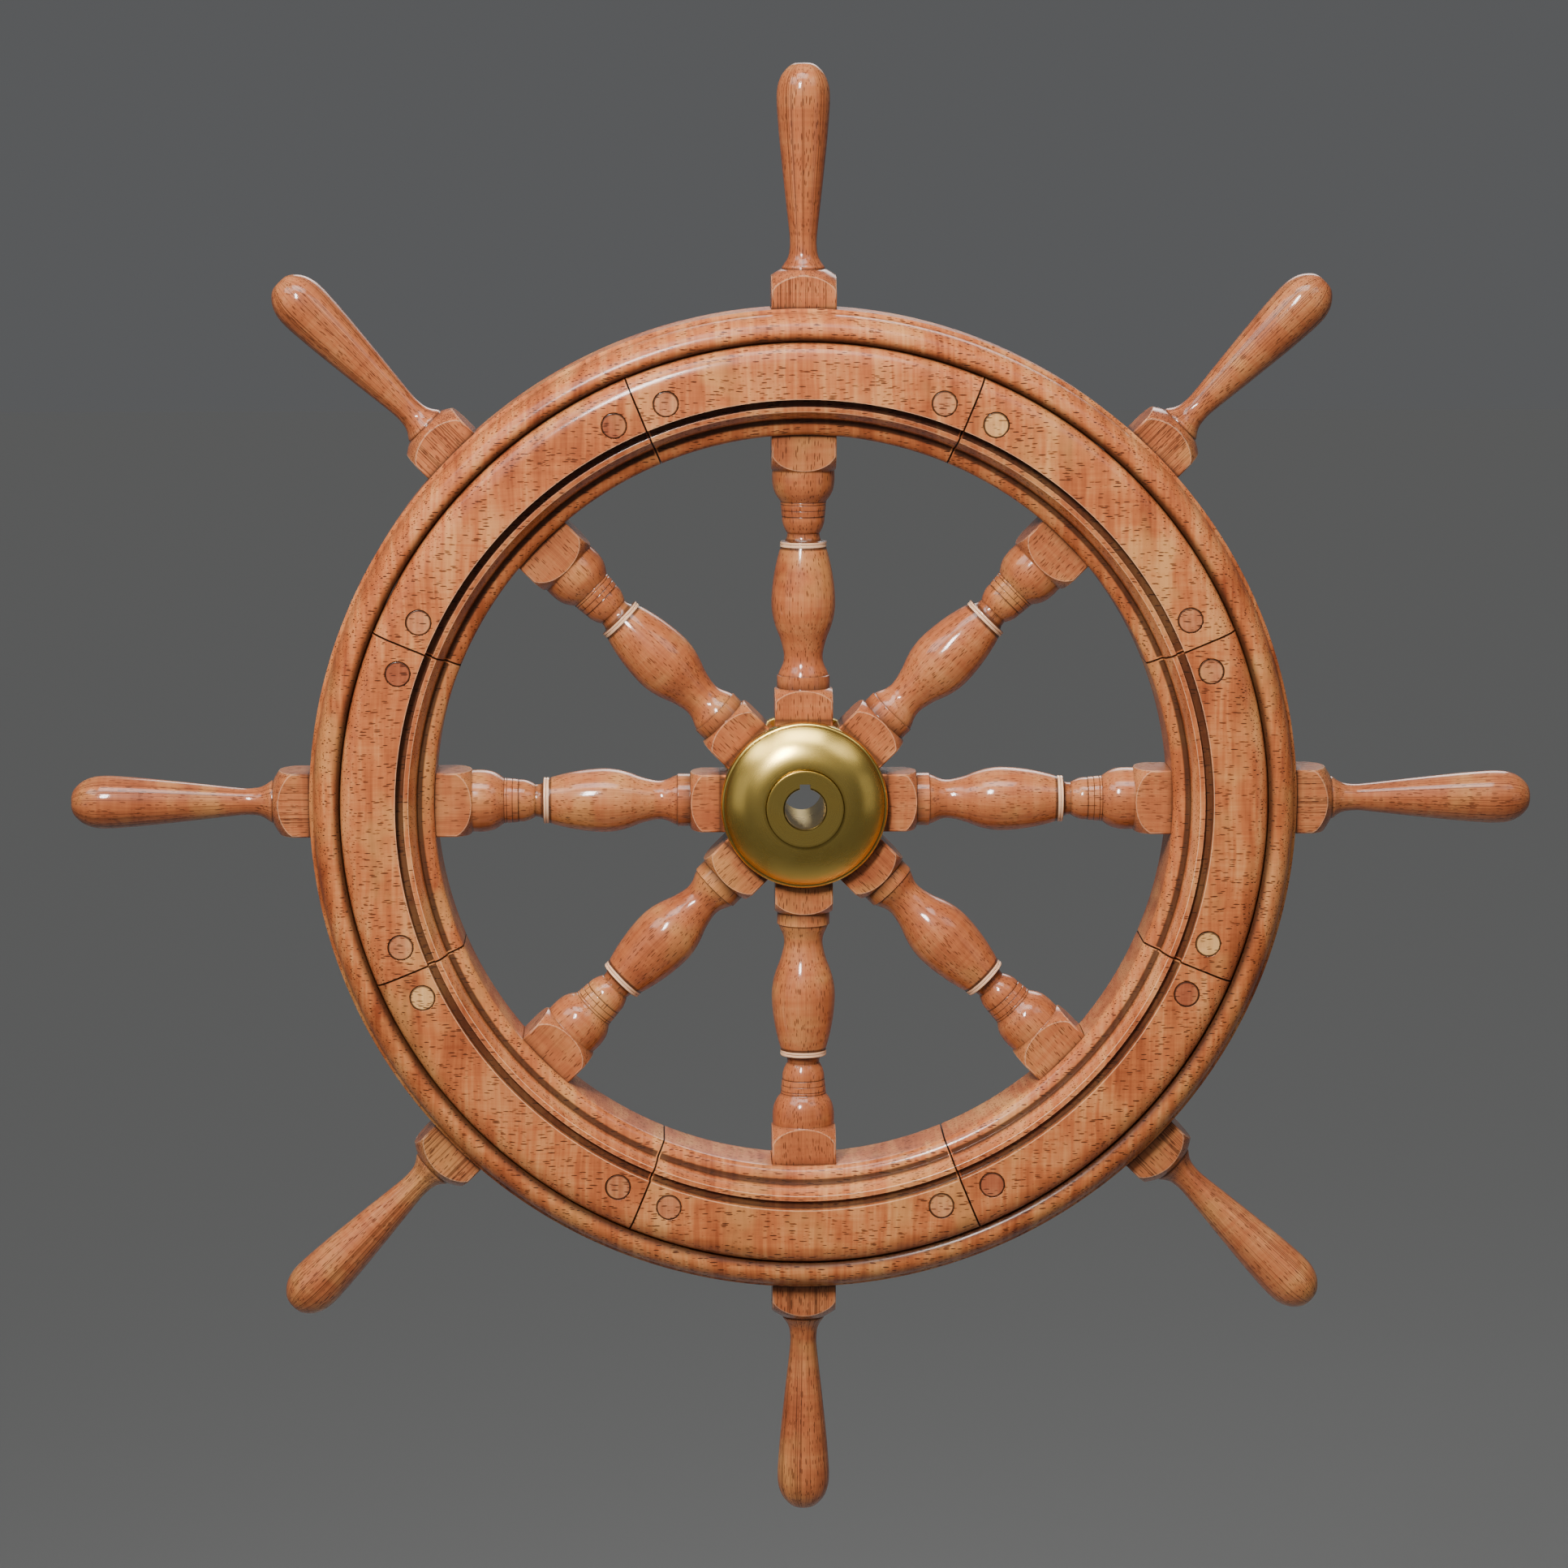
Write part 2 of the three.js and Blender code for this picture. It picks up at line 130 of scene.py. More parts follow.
sky = bpy.data.objects.new("sky", bpy.data.lights.new("sky", "SUN"))
sky.data.energy = 0.36
sky.data.angle = math.radians(120)
sky.rotation_euler = Vector((0.1, 0.4, -1)).to_track_quat("-Z", "Y").to_euler()
bpy.context.scene.collection.objects.link(sky)
print("floor at", round(FLOOR_HEIGHT, 4))

# %% [markdown]
# ## Shader expressions
# A finish is easier to read as a formula than as a drawing of nodes. A `Signal` wraps one node
# socket, and arithmetic on signals adds the Math nodes. Every other node comes from
# `Finish.add`, which takes the node's type, its settings and what goes into its sockets.


# %% Shader expressions
class Signal:
    """A socket's value in an expression."""

    def __init__(self, finish, socket):
        self.finish = finish
        self.socket = socket

    def math(self, operation, *values):
        inputs = dict(enumerate((self, *values)))
        return self.finish.add("ShaderNodeMath", {"operation": operation}, inputs)

    def __add__(self, other):
        return self.math("ADD", other)

    def __radd__(self, other):
        return self.math("ADD", other)

    def __sub__(self, other):
        return self.math("SUBTRACT", other)

    def __rsub__(self, other):
        return (self * -1) + other

    def __mul__(self, other):
        return self.math("MULTIPLY", other)

    def __rmul__(self, other):
        return self.math("MULTIPLY", other)


class Finish:
    """A material whose nodes are written as expressions."""

    def __init__(self, name):
        self.material = bpy.data.materials.new(name)
        self.material.use_nodes = True
        self.tree = self.material.node_tree
        self.shader = self.tree.nodes["Principled BSDF"]

    def add(self, kind, settings=None, inputs=None, output=0):
        """Adds a node and gives one of its outputs. Settings come first, then sockets."""
        node = self.tree.nodes.new(kind)
        for name, value in (settings or {}).items():
            if name == "stops":
                self.set_stops(node.color_ramp, value)
            else:
                setattr(node, name, value)
        for socket, value in (inputs or {}).items():
            self.feed(node.inputs[socket], value)
        return Signal(self, node.outputs[output])

    def feed(self, socket, value):
        if isinstance(value, Signal):
            self.tree.links.new(value.socket, socket)
        else:
            socket.default_value = value

    def set_stops(self, ramp, stops):
        while len(ramp.elements) < len(stops):
            ramp.elements.new(1)
        for element, (position, colour) in zip(ramp.elements, stops):
            element.position = position
            element.color = (*colour, 1)

    def set(self, **values):
        """Sets the shader's own sockets, with _ for a space."""
        for name, value in values.items():
            self.feed(self.shader.inputs[name.replace("_", " ")], value)

    def attribute(self, name, output):
        return self.add("ShaderNodeAttribute", {"attribute_name": name}, output=output)

    def stretch(self, vector, factors):
        """A vector multiplied along each axis, so that a pattern is that much finer there."""
        return self.add("ShaderNodeVectorMath", {"operation": "MULTIPLY"}, {0: vector, 1: factors})

    def noise(self, vector, factors, detail=2.0, output="Fac"):
        """Soft noise, with about as many spots to the metre along each axis as the factors say."""
        return self.add("ShaderNodeTexNoise", {}, {
            "Vector": self.stretch(vector, factors), "Scale": 1.0, "Detail": detail,
            "Roughness": 0.55}, output=output)

    def band(self, value, low, high, start=0.0, end=1.0):
        """A value's range low to high mapped smoothly to start to end."""
        return self.add("ShaderNodeMapRange", {"interpolation_type": "SMOOTHSTEP"}, {
            "Value": value, "From Min": low, "From Max": high, "To Min": start, "To Max": end})

    def mix(self, share, first, second):
        """Two colours mixed by a share."""
        return self.add("ShaderNodeMix", {"data_type": "RGBA"}, {0: share, 6: first, 7: second},
                        output=2)

    def bump(self, height, distance, strength):
        inputs = {"Height": height, "Distance": distance, "Strength": strength}
        return self.add("ShaderNodeBump", {}, inputs)


def rgb(red, green, blue):
    """A screen colour from 0 to 255 as the linear colour that sockets hold."""
    return tuple(((c / 255 + 0.055) / 1.055) ** 2.4 for c in (red, green, blue))


print("expressions ready")

# %% [markdown]
# ## Varnished mahogany
# Mahogany is reddish brown with open pores, which show as short dark dashes along the grain.
# Broad cloudy patches and faint bands across the grain give it life. Each piece carries two
# attributes: `board` places it in its own plank, with the grain along the third axis, and
# `arris` is above 0 along outer edges, which are pale where the varnish is thin and get a
# painted highlight, and below 0 in corners and hollows, which get painted shade, and at the
# dark joints. It reaches 2 only on the spokes' rings, which are paler still.
# A third, `around`, follows a spoke's turned surface, and long dark lines run along it, faint
# by the hub and strong on the handles. A clear coat over the wood gives the gloss.


# %% Wood finish
# The dark of the joints, and the painted shade of corners and hollows.
DARK_JOINT_AND_PAINTED_SHADE = (*rgb(50, 29, 18), 1)
# Pale worn edges with a painted highlight, and the pale rings of the spokes.
PALE_EDGE_RING_AND_HIGHLIGHT = (*rgb(240, 194, 154), 1)
TAN_PATCH = (*rgb(212, 158, 92), 1)
RED_PATCH = (*rgb(160, 78, 48), 1)
RING_LIGHT = 0.9
HANDLE_START = 0.32  # metres from the shaft


def wood(name, deep, middle, light, edge_light=0.4, gloss=0.5, blur=0.15, pores=0.95, figure=1.0,
         lined=False):
    """Varnished wood in three tones, darkest first. Edge_light is how pale its edges are, from
    wear and a painted highlight, gloss and blur are its clear coat's, figure is the strength of
    the bands across the grain, and lined wood has the long dark lines."""
    finish = Finish(name)
    board = finish.attribute("board", "Vector")
    arris = finish.attribute("arris", "Fac")

    drift = finish.noise(board, (9, 9, 9), output="Color")
    wander = finish.add("ShaderNodeVectorMath", {"operation": "SCALE"}, {0: drift, "Scale": 0.012})
    grain = finish.add("ShaderNodeVectorMath", {"operation": "ADD"}, {0: board, 1: wander})

    patch = finish.noise(grain, (24, 24, 15), 3.0)
    band = finish.noise(grain, (11, 11, 75), 2.0)
    ripple = finish.noise(grain, (30, 30, 420), 1.0)
    fibre = finish.noise(grain, (900, 900, 40), 2.0)
    streak = finish.noise(grain, (330, 330, 7), 2.0)
    across = 0.64 * band + 0.36 * ripple - 0.5
    tone = 0.28 + 0.26 * patch + 0.56 * figure * across + 0.09 * streak + 0.09 * fibre
    colour = finish.add("ShaderNodeValToRGB", {"stops": [
        (0.39, deep), (0.50, middle), (0.61, light)]}, {"Fac": tone})
    hue = finish.noise(grain, (19, 19, 26), 3.0)
    colour = finish.mix(finish.band(hue, 0.52, 0.70) * 0.36, colour, TAN_PATCH)
    colour = finish.mix(finish.band(hue, 0.47, 0.32) * 0.18, colour, RED_PATCH)

    cells = finish.stretch(grain, (980, 980, 165))
    distance = finish.add("ShaderNodeTexVoronoi", {}, {"Vector": cells, "Scale": 1.0})
    chance = finish.add("ShaderNodeTexVoronoi", {}, {"Vector": cells, "Scale": 1.0}, output="Color")
    size = 0.46 * finish.add("ShaderNodeSeparateColor", {}, {0: chance}) - 0.03
    pore = finish.band(distance - size, -0.05, 0.05, 1.0, 0.0)
    dark = (*(c * 0.24 for c in deep), 1)
    colour = finish.mix(pore * pores, colour, dark)
    if lined:
        around = finish.attribute("around", "Vector")
        along = finish.add("ShaderNodeSeparateXYZ", {}, {0: board}, output=2)
        hair = finish.band(finish.noise(around, (32, 32, 4), 1.0), 0.52, 0.58)
        group = finish.band(finish.noise(around, (4, 4, 6), 1.0), 0.33, 0.50)
        amount = finish.band(along, HANDLE_START - 0.04, HANDLE_START, 0.20, 0.65)
        colour = finish.mix(hair * group * amount, colour, dark)
    # Edges are paler from worn varnish and a painted highlight; the spokes' rings are pale wood.
    worn_and_highlight = finish.band(arris, 0.0, 1.0, 0.0, edge_light)
    ring = finish.band(arris, 1.0, 2.0, 0.0, RING_LIGHT - edge_light)
    colour = finish.mix(worn_and_highlight + ring, colour, PALE_EDGE_RING_AND_HIGHLIGHT)
    # Painted shade darkens corners and hollows; the same dark colour marks the joints.
    colour = finish.mix(finish.band(arris, -0.02, -0.60) * 0.85, colour, DARK_JOINT_AND_PAINTED_SHADE)

    relief = (1 - pore) * 0.6 + fibre * 0.4
    finish.set(
        Base_Color=colour,
        Roughness=0.40 + 0.12 * patch + 0.2 * pore,
        Coat_Weight=gloss,
        Coat_Roughness=blur,
        Specular_IOR_Level=0.12,
        Normal=finish.bump(relief, 0.05 * MM, 0.5))
    return finish.material


felloe_wood = wood("felloe wood", rgb(146, 73, 40), rgb(183, 102, 57), rgb(208, 139, 84), 0.55,
                   gloss=0.5, blur=0.16)
hoop_wood = wood("hoop wood", rgb(140, 67, 36), rgb(186, 104, 57), rgb(210, 141, 86), 0.1,
                 gloss=0.4, blur=0.22)
spoke_wood = wood("spoke wood", rgb(138, 68, 39), rgb(178, 102, 60), rgb(202, 136, 85), 0.33,
                  gloss=0.75, blur=0.11, pores=0.7, figure=0.4, lined=True)
tenon_wood = wood("tenon wood", rgb(120, 76, 50), rgb(150, 102, 70), rgb(176, 128, 90))
print("wood finishes ready")

# %% [markdown]
# ## Satin brass
# The hub was turned, so its polish runs round the axis in very fine rings. Cast brass is never
# quite even: broad faint clouds change how it shines. Its corners, the mouths of the bore and
# the dome's rim get a brown painted shade.


# %% Brass finish
BRASS_PAINTED_SHADE = (*rgb(56, 34, 12), 1)


def brass(name, colour, tarnish):
    """Turned brass with rings about the Y axis."""
    finish = Finish(name)
    place = finish.add("ShaderNodeTexCoord", output="Object")
    arris = finish.attribute("arris", "Fac")
    cloud = finish.noise(place, (60, 60, 60), 4.0)
    across = finish.stretch(place, (1, 0, 1))
    radius = finish.add("ShaderNodeVectorMath", {"operation": "LENGTH"}, {0: across}, output="Value")
    rings = finish.add("ShaderNodeTexNoise", {"noise_dimensions": "1D"}, {
        "W": radius, "Scale": 2600.0, "Detail": 3.0}, output="Fac")
    shade = finish.mix(finish.band(cloud, 0.40, 0.72) * 0.35, (*colour, 1), (*tarnish, 1))
    # Painted shade: brown in corners, at the bore's mouths and towards the dome's rim.
    corner = finish.band(arris, -0.05, -0.6)
    shade = finish.mix(corner * 0.85, shade, BRASS_PAINTED_SHADE)
    finish.set(
        Base_Color=shade,
        Metallic=1.0,
        Roughness=0.20 + 0.09 * cloud + 0.04 * rings,
        Normal=finish.bump(rings, 0.004 * MM, 0.35))
    return finish.material


hub_brass = brass("hub brass", rgb(226, 193, 102), rgb(188, 150, 72))
screw_brass = brass("screw brass", rgb(208, 172, 90), rgb(150, 114, 54))
print("brass finishes ready")

# %% [markdown]
# ## Drawing and turning an outline
# Turned and moulded work starts as an outline. A single vertex is extruded from point to point,
# and spin carries the outline round an axis, as a lathe does. `eased` first rounds each hard
# corner of the outline a little, since no cutter leaves a perfect edge, and puts a point on
# either side, so that the pale line on the edge stays narrow.


# %% Outlines
def turning(before, here, after):
    """How sharply an outline turns at a point, in degrees."""
    first = np.subtract(here, before)
    second = np.subtract(after, here)
    cross = first[0] * second[1] - first[1] * second[0]
    return abs(math.degrees(math.atan2(cross, float(np.dot(first, second)))))


def towards(start, end, distance):
    start = np.array(start, float)
    step = np.subtract(end, start)
    return tuple(start + step * distance / np.linalg.norm(step))


def eased(points, size=0.35, guard=0.55, sharp=25, closed=False):
    """The outline with its corners sharper than some degrees rounded by size, in mm, and with
    guard points on both sides of each."""
    count = len(points)
    result = []
    for i, here in enumerate(points):
        if not closed and i in (0, count - 1):
            result.append(here)
            continue
        before, after = points[i - 1], points[(i + 1) % count]
        if turning(before, here, after) < sharp:
            result.append(here)
            continue
        room = min(math.dist(before, here), math.dist(here, after)) * 0.45
        round_by = min(size, room * 0.6)
        guard_at = min(size + guard, room)
        first, last = towards(here, before, round_by), towards(here, after, round_by)
        middle = tuple(0.25 * a + 0.5 * b + 0.25 * c for a, b, c in zip(first, here, last))
        result += [towards(here, before, guard_at), first, middle, last,
                   towards(here, after, guard_at)]
    return result


def rounded(start, end, flat_first, steps):
    """A quarter ellipse. It leaves start along the first coordinate if flat_first is true."""
    points = []
    for i in range(steps + 1):
        turn = i / steps * math.pi / 2
        wide, high = math.sin(turn), 1 - math.cos(turn)
        if not flat_first:
            wide, high = high, wide
        points.append((start[0] + (end[0] - start[0]) * wide, start[1] + (end[1] - start[1]) * high))
    return points


def smooth(points, spacing=1.2):
    """A smooth curve through points, as (radius, distance), with a point about every spacing."""
    knots = [np.array(p, float) for p in points]
    knots = [2 * knots[0] - knots[1], *knots, 2 * knots[-1] - knots[-2]]
    curve = []
    for a, b, c, d in zip(knots, knots[1:], knots[2:], knots[3:]):
        steps = max(2, round(math.dist(b, c) / spacing))
        for i in range(steps):
            t = i / steps
            point = 0.5 * (2 * b + (c - a) * t + (2 * a - 5 * b + 4 * c - d) * t ** 2
                           + (3 * b - a - 3 * c + d) * t ** 3)
            curve.append(tuple(point))
    return [*curve, tuple(points[-1])]


# %% Drawing and spinning
def begin(name, points):
    """Draws an outline, given in metres, by extruding one vertex, and stays in edit mode."""
    points = [Vector(p) for p in points]
    bpy.ops.object.select_all(action="DESELECT")
    bpy.ops.mesh.primitive_plane_add(size=MM)
    bpy.context.object.name = name
    bpy.ops.object.mode_set(mode="EDIT")
    bpy.ops.mesh.select_mode(type="VERT")
    bpy.ops.mesh.merge(type="CENTER")
    bpy.ops.transform.translate(value=points[0])
    for here, there in zip(points, points[1:]):
        bpy.ops.mesh.extrude_vertices_move(TRANSFORM_OT_translate={"value": there - here})
    bpy.ops.mesh.select_all(action="SELECT")


def clean(name):
    """Closes the piece's seams, turns its faces outwards and leaves edit mode."""
    bpy.ops.mesh.select_all(action="SELECT")
    bpy.ops.mesh.remove_doubles(threshold=0.001 * MM)
    bpy.ops.mesh.normals_make_consistent(inside=False)
    bpy.ops.object.mode_set(mode="OBJECT")
    piece = bpy.context.object
    piece.name = name
    piece.data.name = name
    return piece


def turned_about_z(name, outline, steps=96):
    """A spindle along Z from an outline of (radius, height) in mm that starts and ends on the axis."""
    begin(name, [(r * MM, 0, z * MM) for r, z in outline])
    bpy.ops.mesh.spin(steps=steps, angle=math.tau, center=(0, 0, 0), axis=(0, 0, 1))
    return clean(name)


def turned_about_y(name, outline, steps=192, closed=False, angle=math.tau):
    """A solid about Y from an outline of (radius, y) in mm. A closed outline makes a ring."""
    points = [*outline, outline[0]] if closed else outline
    begin(name, [(r * MM, y * MM, 0) for r, y in points])
    if angle < math.tau:
        bpy.ops.mesh.remove_doubles(threshold=0.001 * MM)
        bpy.ops.mesh.edge_face_add()
    bpy.ops.mesh.spin(steps=steps, angle=angle, center=(0, 0, 0), axis=(0, 1, 0))
    return clean(name)


def activate(piece):
    bpy.ops.object.select_all(action="DESELECT")
    piece.select_set(True)
    bpy.context.view_layer.objects.active = piece


def rotate(piece, axis, angle):
    """Turns a piece about the origin and puts the turn into its mesh."""
    activate(piece)
    piece.rotation_euler["XYZ".index(axis)] = angle
    bpy.ops.object.transform_apply(location=True, rotation=True, scale=True)
    return piece


def copy_of(piece, name, axis="Y", angle=0.0):
    """A copy with its own mesh, turned about the origin."""
    activate(piece)
    bpy.ops.object.duplicate(linked=False)
    twin = bpy.context.object
    twin.name = name
    twin.data.name = name
    return rotate(twin, axis, angle)


# %% Cutting
def cube(low, high):
    """A cutting block between two corners in mm."""
    bpy.ops.object.select_all(action="DESELECT")
    middle = [(a + b) / 2 * MM for a, b in zip(low, high)]
    size = [(b - a) * MM for a, b in zip(low, high)]
    bpy.ops.mesh.primitive_cube_add(size=1, location=middle, scale=size)
    bpy.ops.object.transform_apply(location=True, rotation=True, scale=True)
    return bpy.context.object


def cut(piece, *tools):
    """Takes the tools' shapes, which stand clear of one another, out of the piece."""
    activate(tools[0])
    if len(tools) > 1:
        for tool in tools:
            tool.select_set(True)
        bpy.ops.object.join()
    activate(piece)
    bpy.ops.object.modifier_add(type="BOOLEAN")
    modifier = piece.modifiers[-1]
    modifier.operation = "DIFFERENCE"
    modifier.solver = "EXACT"
    modifier.object = tools[0]
    bpy.ops.object.modifier_apply(modifier=modifier.name)
    bpy.data.objects.remove(tools[0])
    return piece


def score(piece, point, normal):
    """Adds an edge loop all round a piece where a plane crosses it."""
    activate(piece)
    bpy.ops.object.mode_set(mode="EDIT")
    bpy.ops.mesh.select_all(action="SELECT")
    bpy.ops.mesh.bisect(plane_co=[c * MM for c in point], plane_no=normal)
    bpy.ops.object.mode_set(mode="OBJECT")


def placed(piece, radius, angle):
    """Moves a tool or rod made on the Y axis out along Z, and then round the wheel."""
    activate(piece)
    piece.location = (0, 0, radius * MM)
    bpy.ops.object.transform_apply(location=True, rotation=True, scale=True)
    return rotate(piece, "Y", angle)


print("tools ready")

# %% [markdown]
# ## Marking edges, corners and planks
# The finishes read two attributes. `arris` is up to 1 along outer edges, found from the angle
# between faces, where the varnish is worn pale and a highlight is painted, and down to -1 in
# hollows, where shade is painted. For a hollow, each vertex looks along its section for walls
# within reach, and counts how high they stand on its two sides. `board` is where a vertex lies
# in the plank that its piece was cut from, shifted by a different amount for every piece, so
# that no two show the same grain.


# %% Edges and corners
SHARP_FROM = math.radians(12)
SHARP_TO = math.radians(26)
HOLLOW_FROM = 0.12


def edge_shares(piece):
    """From 0 to 1 at each vertex: how sharp an outer edge it lies on."""
    mesh = bmesh.new()
    mesh.from_mesh(piece.data)
    shares = np.zeros(len(mesh.verts), np.float32)
    for edge in mesh.edges:
        share = (edge.calc_face_angle_signed(0.0) - SHARP_FROM) / (SHARP_TO - SHARP_FROM)
        for vertex in edge.verts:
            shares[vertex.index] = max(shares[vertex.index], min(share, 1.0))
    mesh.free()
    return shares


def closely(path, spacing=0.6):
    """Points set closely along a path."""
    result = []
    for start, end in zip(path, path[1:]):
        steps = max(1, round(math.dist(start, end) / spacing))
        result += [np.add(start, np.subtract(end, start) * i / steps) for i in range(steps)]
    return np.array(result, np.float32)


def sections(piece, axis):
    """Each vertex and its normal in its own half-plane through an axis: out from it, along it."""
    count = len(piece.data.vertices)
    places, normals = np.zeros(count * 3, np.float32), np.zeros(count * 3, np.float32)
    piece.data.vertices.foreach_get("co", places)
    piece.data.vertex_normals.foreach_get("vector", normals)
    places, normals = places.reshape(-1, 3) / MM, normals.reshape(-1, 3)
    along = "XYZ".index(axis)
    across = [i for i in range(3) if i != along]
    out = np.linalg.norm(places[:, across], axis=1)
    unit = places[:, across] / np.maximum(out, 1e-6)[:, None]
    tilt = np.stack([(normals[:, across] * unit).sum(1), normals[:, along]], 1)
    tilt /= np.maximum(np.linalg.norm(tilt, axis=1), 1e-6)[:, None]
    return np.stack([out, places[:, along]], 1), tilt


def hollow_shares(piece, axis, walls, reach):
    """From 0 to 1 at each vertex: how much walls within reach close it in."""
    places, normals = sections(piece, axis)
    shares = np.zeros(len(places), np.float32)
    for start in range(0, len(places), 1000):
        part = slice(start, start + 1000)
        away = walls[None] - places[part, None]
        distance = np.maximum(np.linalg.norm(away, axis=2), 0.05)
        rise = (away * normals[part, None]).sum(2) / distance
        side = away[..., 1] * normals[part, None, 0] - away[..., 0] * normals[part, None, 1]
        blocked = np.clip(rise, 0, 1) * np.clip(1 - distance / reach, 0, 1)
        left = np.where(side < 0, blocked, 0).max(1)
        right = np.where(side > 0, blocked, 0).max(1)
        shares[part] = (left + right) / 2
    return shares


def mark_arrises(piece, axis="Y", walls=None, reach=8.0):
    values = edge_shares(piece)
    if walls is not None:
        hollows = hollow_shares(piece, axis, walls, reach)
        # Vertices closed in by walls get painted shade instead of a pale edge.
        values = np.where(hollows > HOLLOW_FROM, np.minimum(values * 0.3, 0) - hollows, values)
    layer = piece.data.attributes.new("arris", "FLOAT", "POINT")
    layer.data.foreach_set("value", values.astype(np.float32))


def set_arris(piece, chosen, value):
    """Sets the attribute where a test of a vertex's place, in mm, holds."""
    layer = piece.data.attributes["arris"]
    for vertex, mark in zip(piece.data.vertices, layer.data):
        if chosen(vertex.co / MM):
            mark.value = value


# %% Planks
def mark_board(piece, number, along_x, angle=0.0):
    """along_x: the plank lies along X. Otherwise it lies along the spoke at an angle about Y."""
    count = len(piece.data.vertices)
    places = np.zeros(count * 3, np.float32)
    piece.data.vertices.foreach_get("co", places)
    x, y, z = places.reshape(-1, 3).T
    if along_x:
        board = np.stack([z, y, x], 1)
    else:
        cosine, sine = math.cos(angle), math.sin(angle)
        board = np.stack([x * cosine - z * sine, y, x * sine + z * cosine], 1)
    shift = np.modf(np.array([0.618, 0.755, 0.382]) * number)[0] * 3
    shift[2] = -1 - shift[2] if along_x else 0
    set_vectors(piece, "board", board + shift)


def set_vectors(piece, name, values):
    layer = piece.data.attributes.new(name, "FLOAT_VECTOR", "POINT")
    layer.data.foreach_set("vector", values.astype(np.float32).ravel())


def smooth_shading(piece, degrees=32):
    activate(piece)
    bpy.ops.object.shade_smooth_by_angle(angle=math.radians(degrees))


def fit(piece, material, slot, *nodes):
    """Gives a finished piece its material and its body, and hides the nodes that it replaces.
    The slot is not used.
    """
    piece.data.materials.clear()
    piece.data.materials.append(material)
    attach(piece, "root")
    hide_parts(*nodes)


print("marking ready")

# %% [markdown]
# ## Sizes taken from the frame
# The rim, the hub and the handles keep the CAD's sizes, so those are read from the boxes of its
# nodes. The mouldings' own small sizes follow here by name, in millimetres.

# %% Sizes
GAP = 0.3
RIM_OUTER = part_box("hoop_front")[1].x / MM
FACING_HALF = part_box("felloe_1")[1].y / MM
HUB_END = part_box("hub_body")[1].y / MM
FLANGE_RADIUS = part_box("hub_body")[1].z / MM
HANDLE_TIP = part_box("spoke_1")[1].z / MM
TENON_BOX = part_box("rim_tenon_1")

HOOP_WIDTH = 19.6
FELLOE_WIDTH = 58.0
HOOP_INNER = RIM_OUTER - HOOP_WIDTH
RIM_INNER = HOOP_INNER - FELLOE_WIDTH
RIM_BLOCK = 40.0
HUB_BLOCK = 36.0
INNER_WALL_HALF = RIM_BLOCK / 2 + 1.0
HOOP_EDGE_HALF = RIM_BLOCK / 2 + 2.0
DOWEL_RADIUS = 7.65
DOWEL_CIRCLE = HOOP_INNER - 23.3
DOWEL_ANGLE = math.asin(17.15 / DOWEL_CIRCLE)
TENON_HALF_LENGTH = 34.8
TENON_HALF_WIDTH = 16
BARREL_RADIUS = 23.9
BORE_RADIUS = 12.7
KEYWAY_HALF = 3.3
KEYWAY_TOP = 15.5
SCREW_CIRCLE = 38.0
SHANK_HOLE = 3.3
DRILL_HALF = 60  # drills and cutters reach this far to both sides of the middle
print(f"rim {RIM_INNER:.1f} to {RIM_OUTER:.1f} mm, tip {HANDLE_TIP:.1f} mm")

# %% [markdown]
# ## Felloes
# The rim's middle is eight curved blocks with one moulded section: a rounded facing, a deep
# narrow quirk, a bead with a bevel, and a soft inner band, the same on both faces. The section
# is drawn once, spun through one eighth of the circle, and its end faces get a small chamfer.
# Then the mortise for the spoke, the pockets for the hidden tenons and the holes for the
# dowels are cut, and seven copies are turned into place.


# %% Rim sections
def felloe_front():
    """The front half of the section, outer wall first, as (radius, height above the middle)."""
    facing_inner = HOOP_INNER - 34.8
    bead_outer = facing_inner - 4.6
    bead_top = FACING_HALF - 5.6
    wall_top = (bead_outer - 6.8, bead_top - 6.0)
    wall_foot = (wall_top[0] - 1.8, INNER_WALL_HALF + 6.6)
    return [
        *rounded((HOOP_INNER - GAP, FACING_HALF - 9.6), (HOOP_INNER - 13.1, FACING_HALF), False, 12),
        (facing_inner, FACING_HALF),
        (facing_inner, FACING_HALF - 9.0),
        (bead_outer, FACING_HALF - 9.0),
        (bead_outer, bead_top),
        (bead_outer - 3.2, bead_top),
        wall_top,
        wall_foot,
        *rounded((wall_foot[0] - 2.0, wall_foot[1] - 0.3), (RIM_INNER, INNER_WALL_HALF), True, 8),
    ]


def hoop_front():
    """The front hoop's section, as (radius, height above the middle), inner wall last."""
    crest = FACING_HALF - 6.1
    return [
        *rounded((HOOP_INNER, FACING_HALF - 10.4), (HOOP_INNER + 5.2, crest), False, 6),
        *rounded((HOOP_INNER + 5.6, crest), (RIM_OUTER - 2.6, HOOP_EDGE_HALF + 2.6), True, 12),
        (RIM_OUTER, HOOP_EDGE_HALF),
        (RIM_OUTER, GAP / 2),
        (HOOP_INNER, GAP / 2),
    ]


felloe_half = eased(felloe_front())
felloe_section = [*[(r, -y) for r, y in reversed(felloe_half)], *felloe_half]
hoop_section = eased(hoop_front(), closed=True)
rim_walls = np.concatenate([
    closely([(r, side * y) for r, y in path])
    for path in (felloe_half, hoop_section) for side in (-1, 1)])

# %% Felloes
ARC = STATION - GAP / DOWEL_CIRCLE
END_LOOPS = (0.35, 0.8, 1.4)
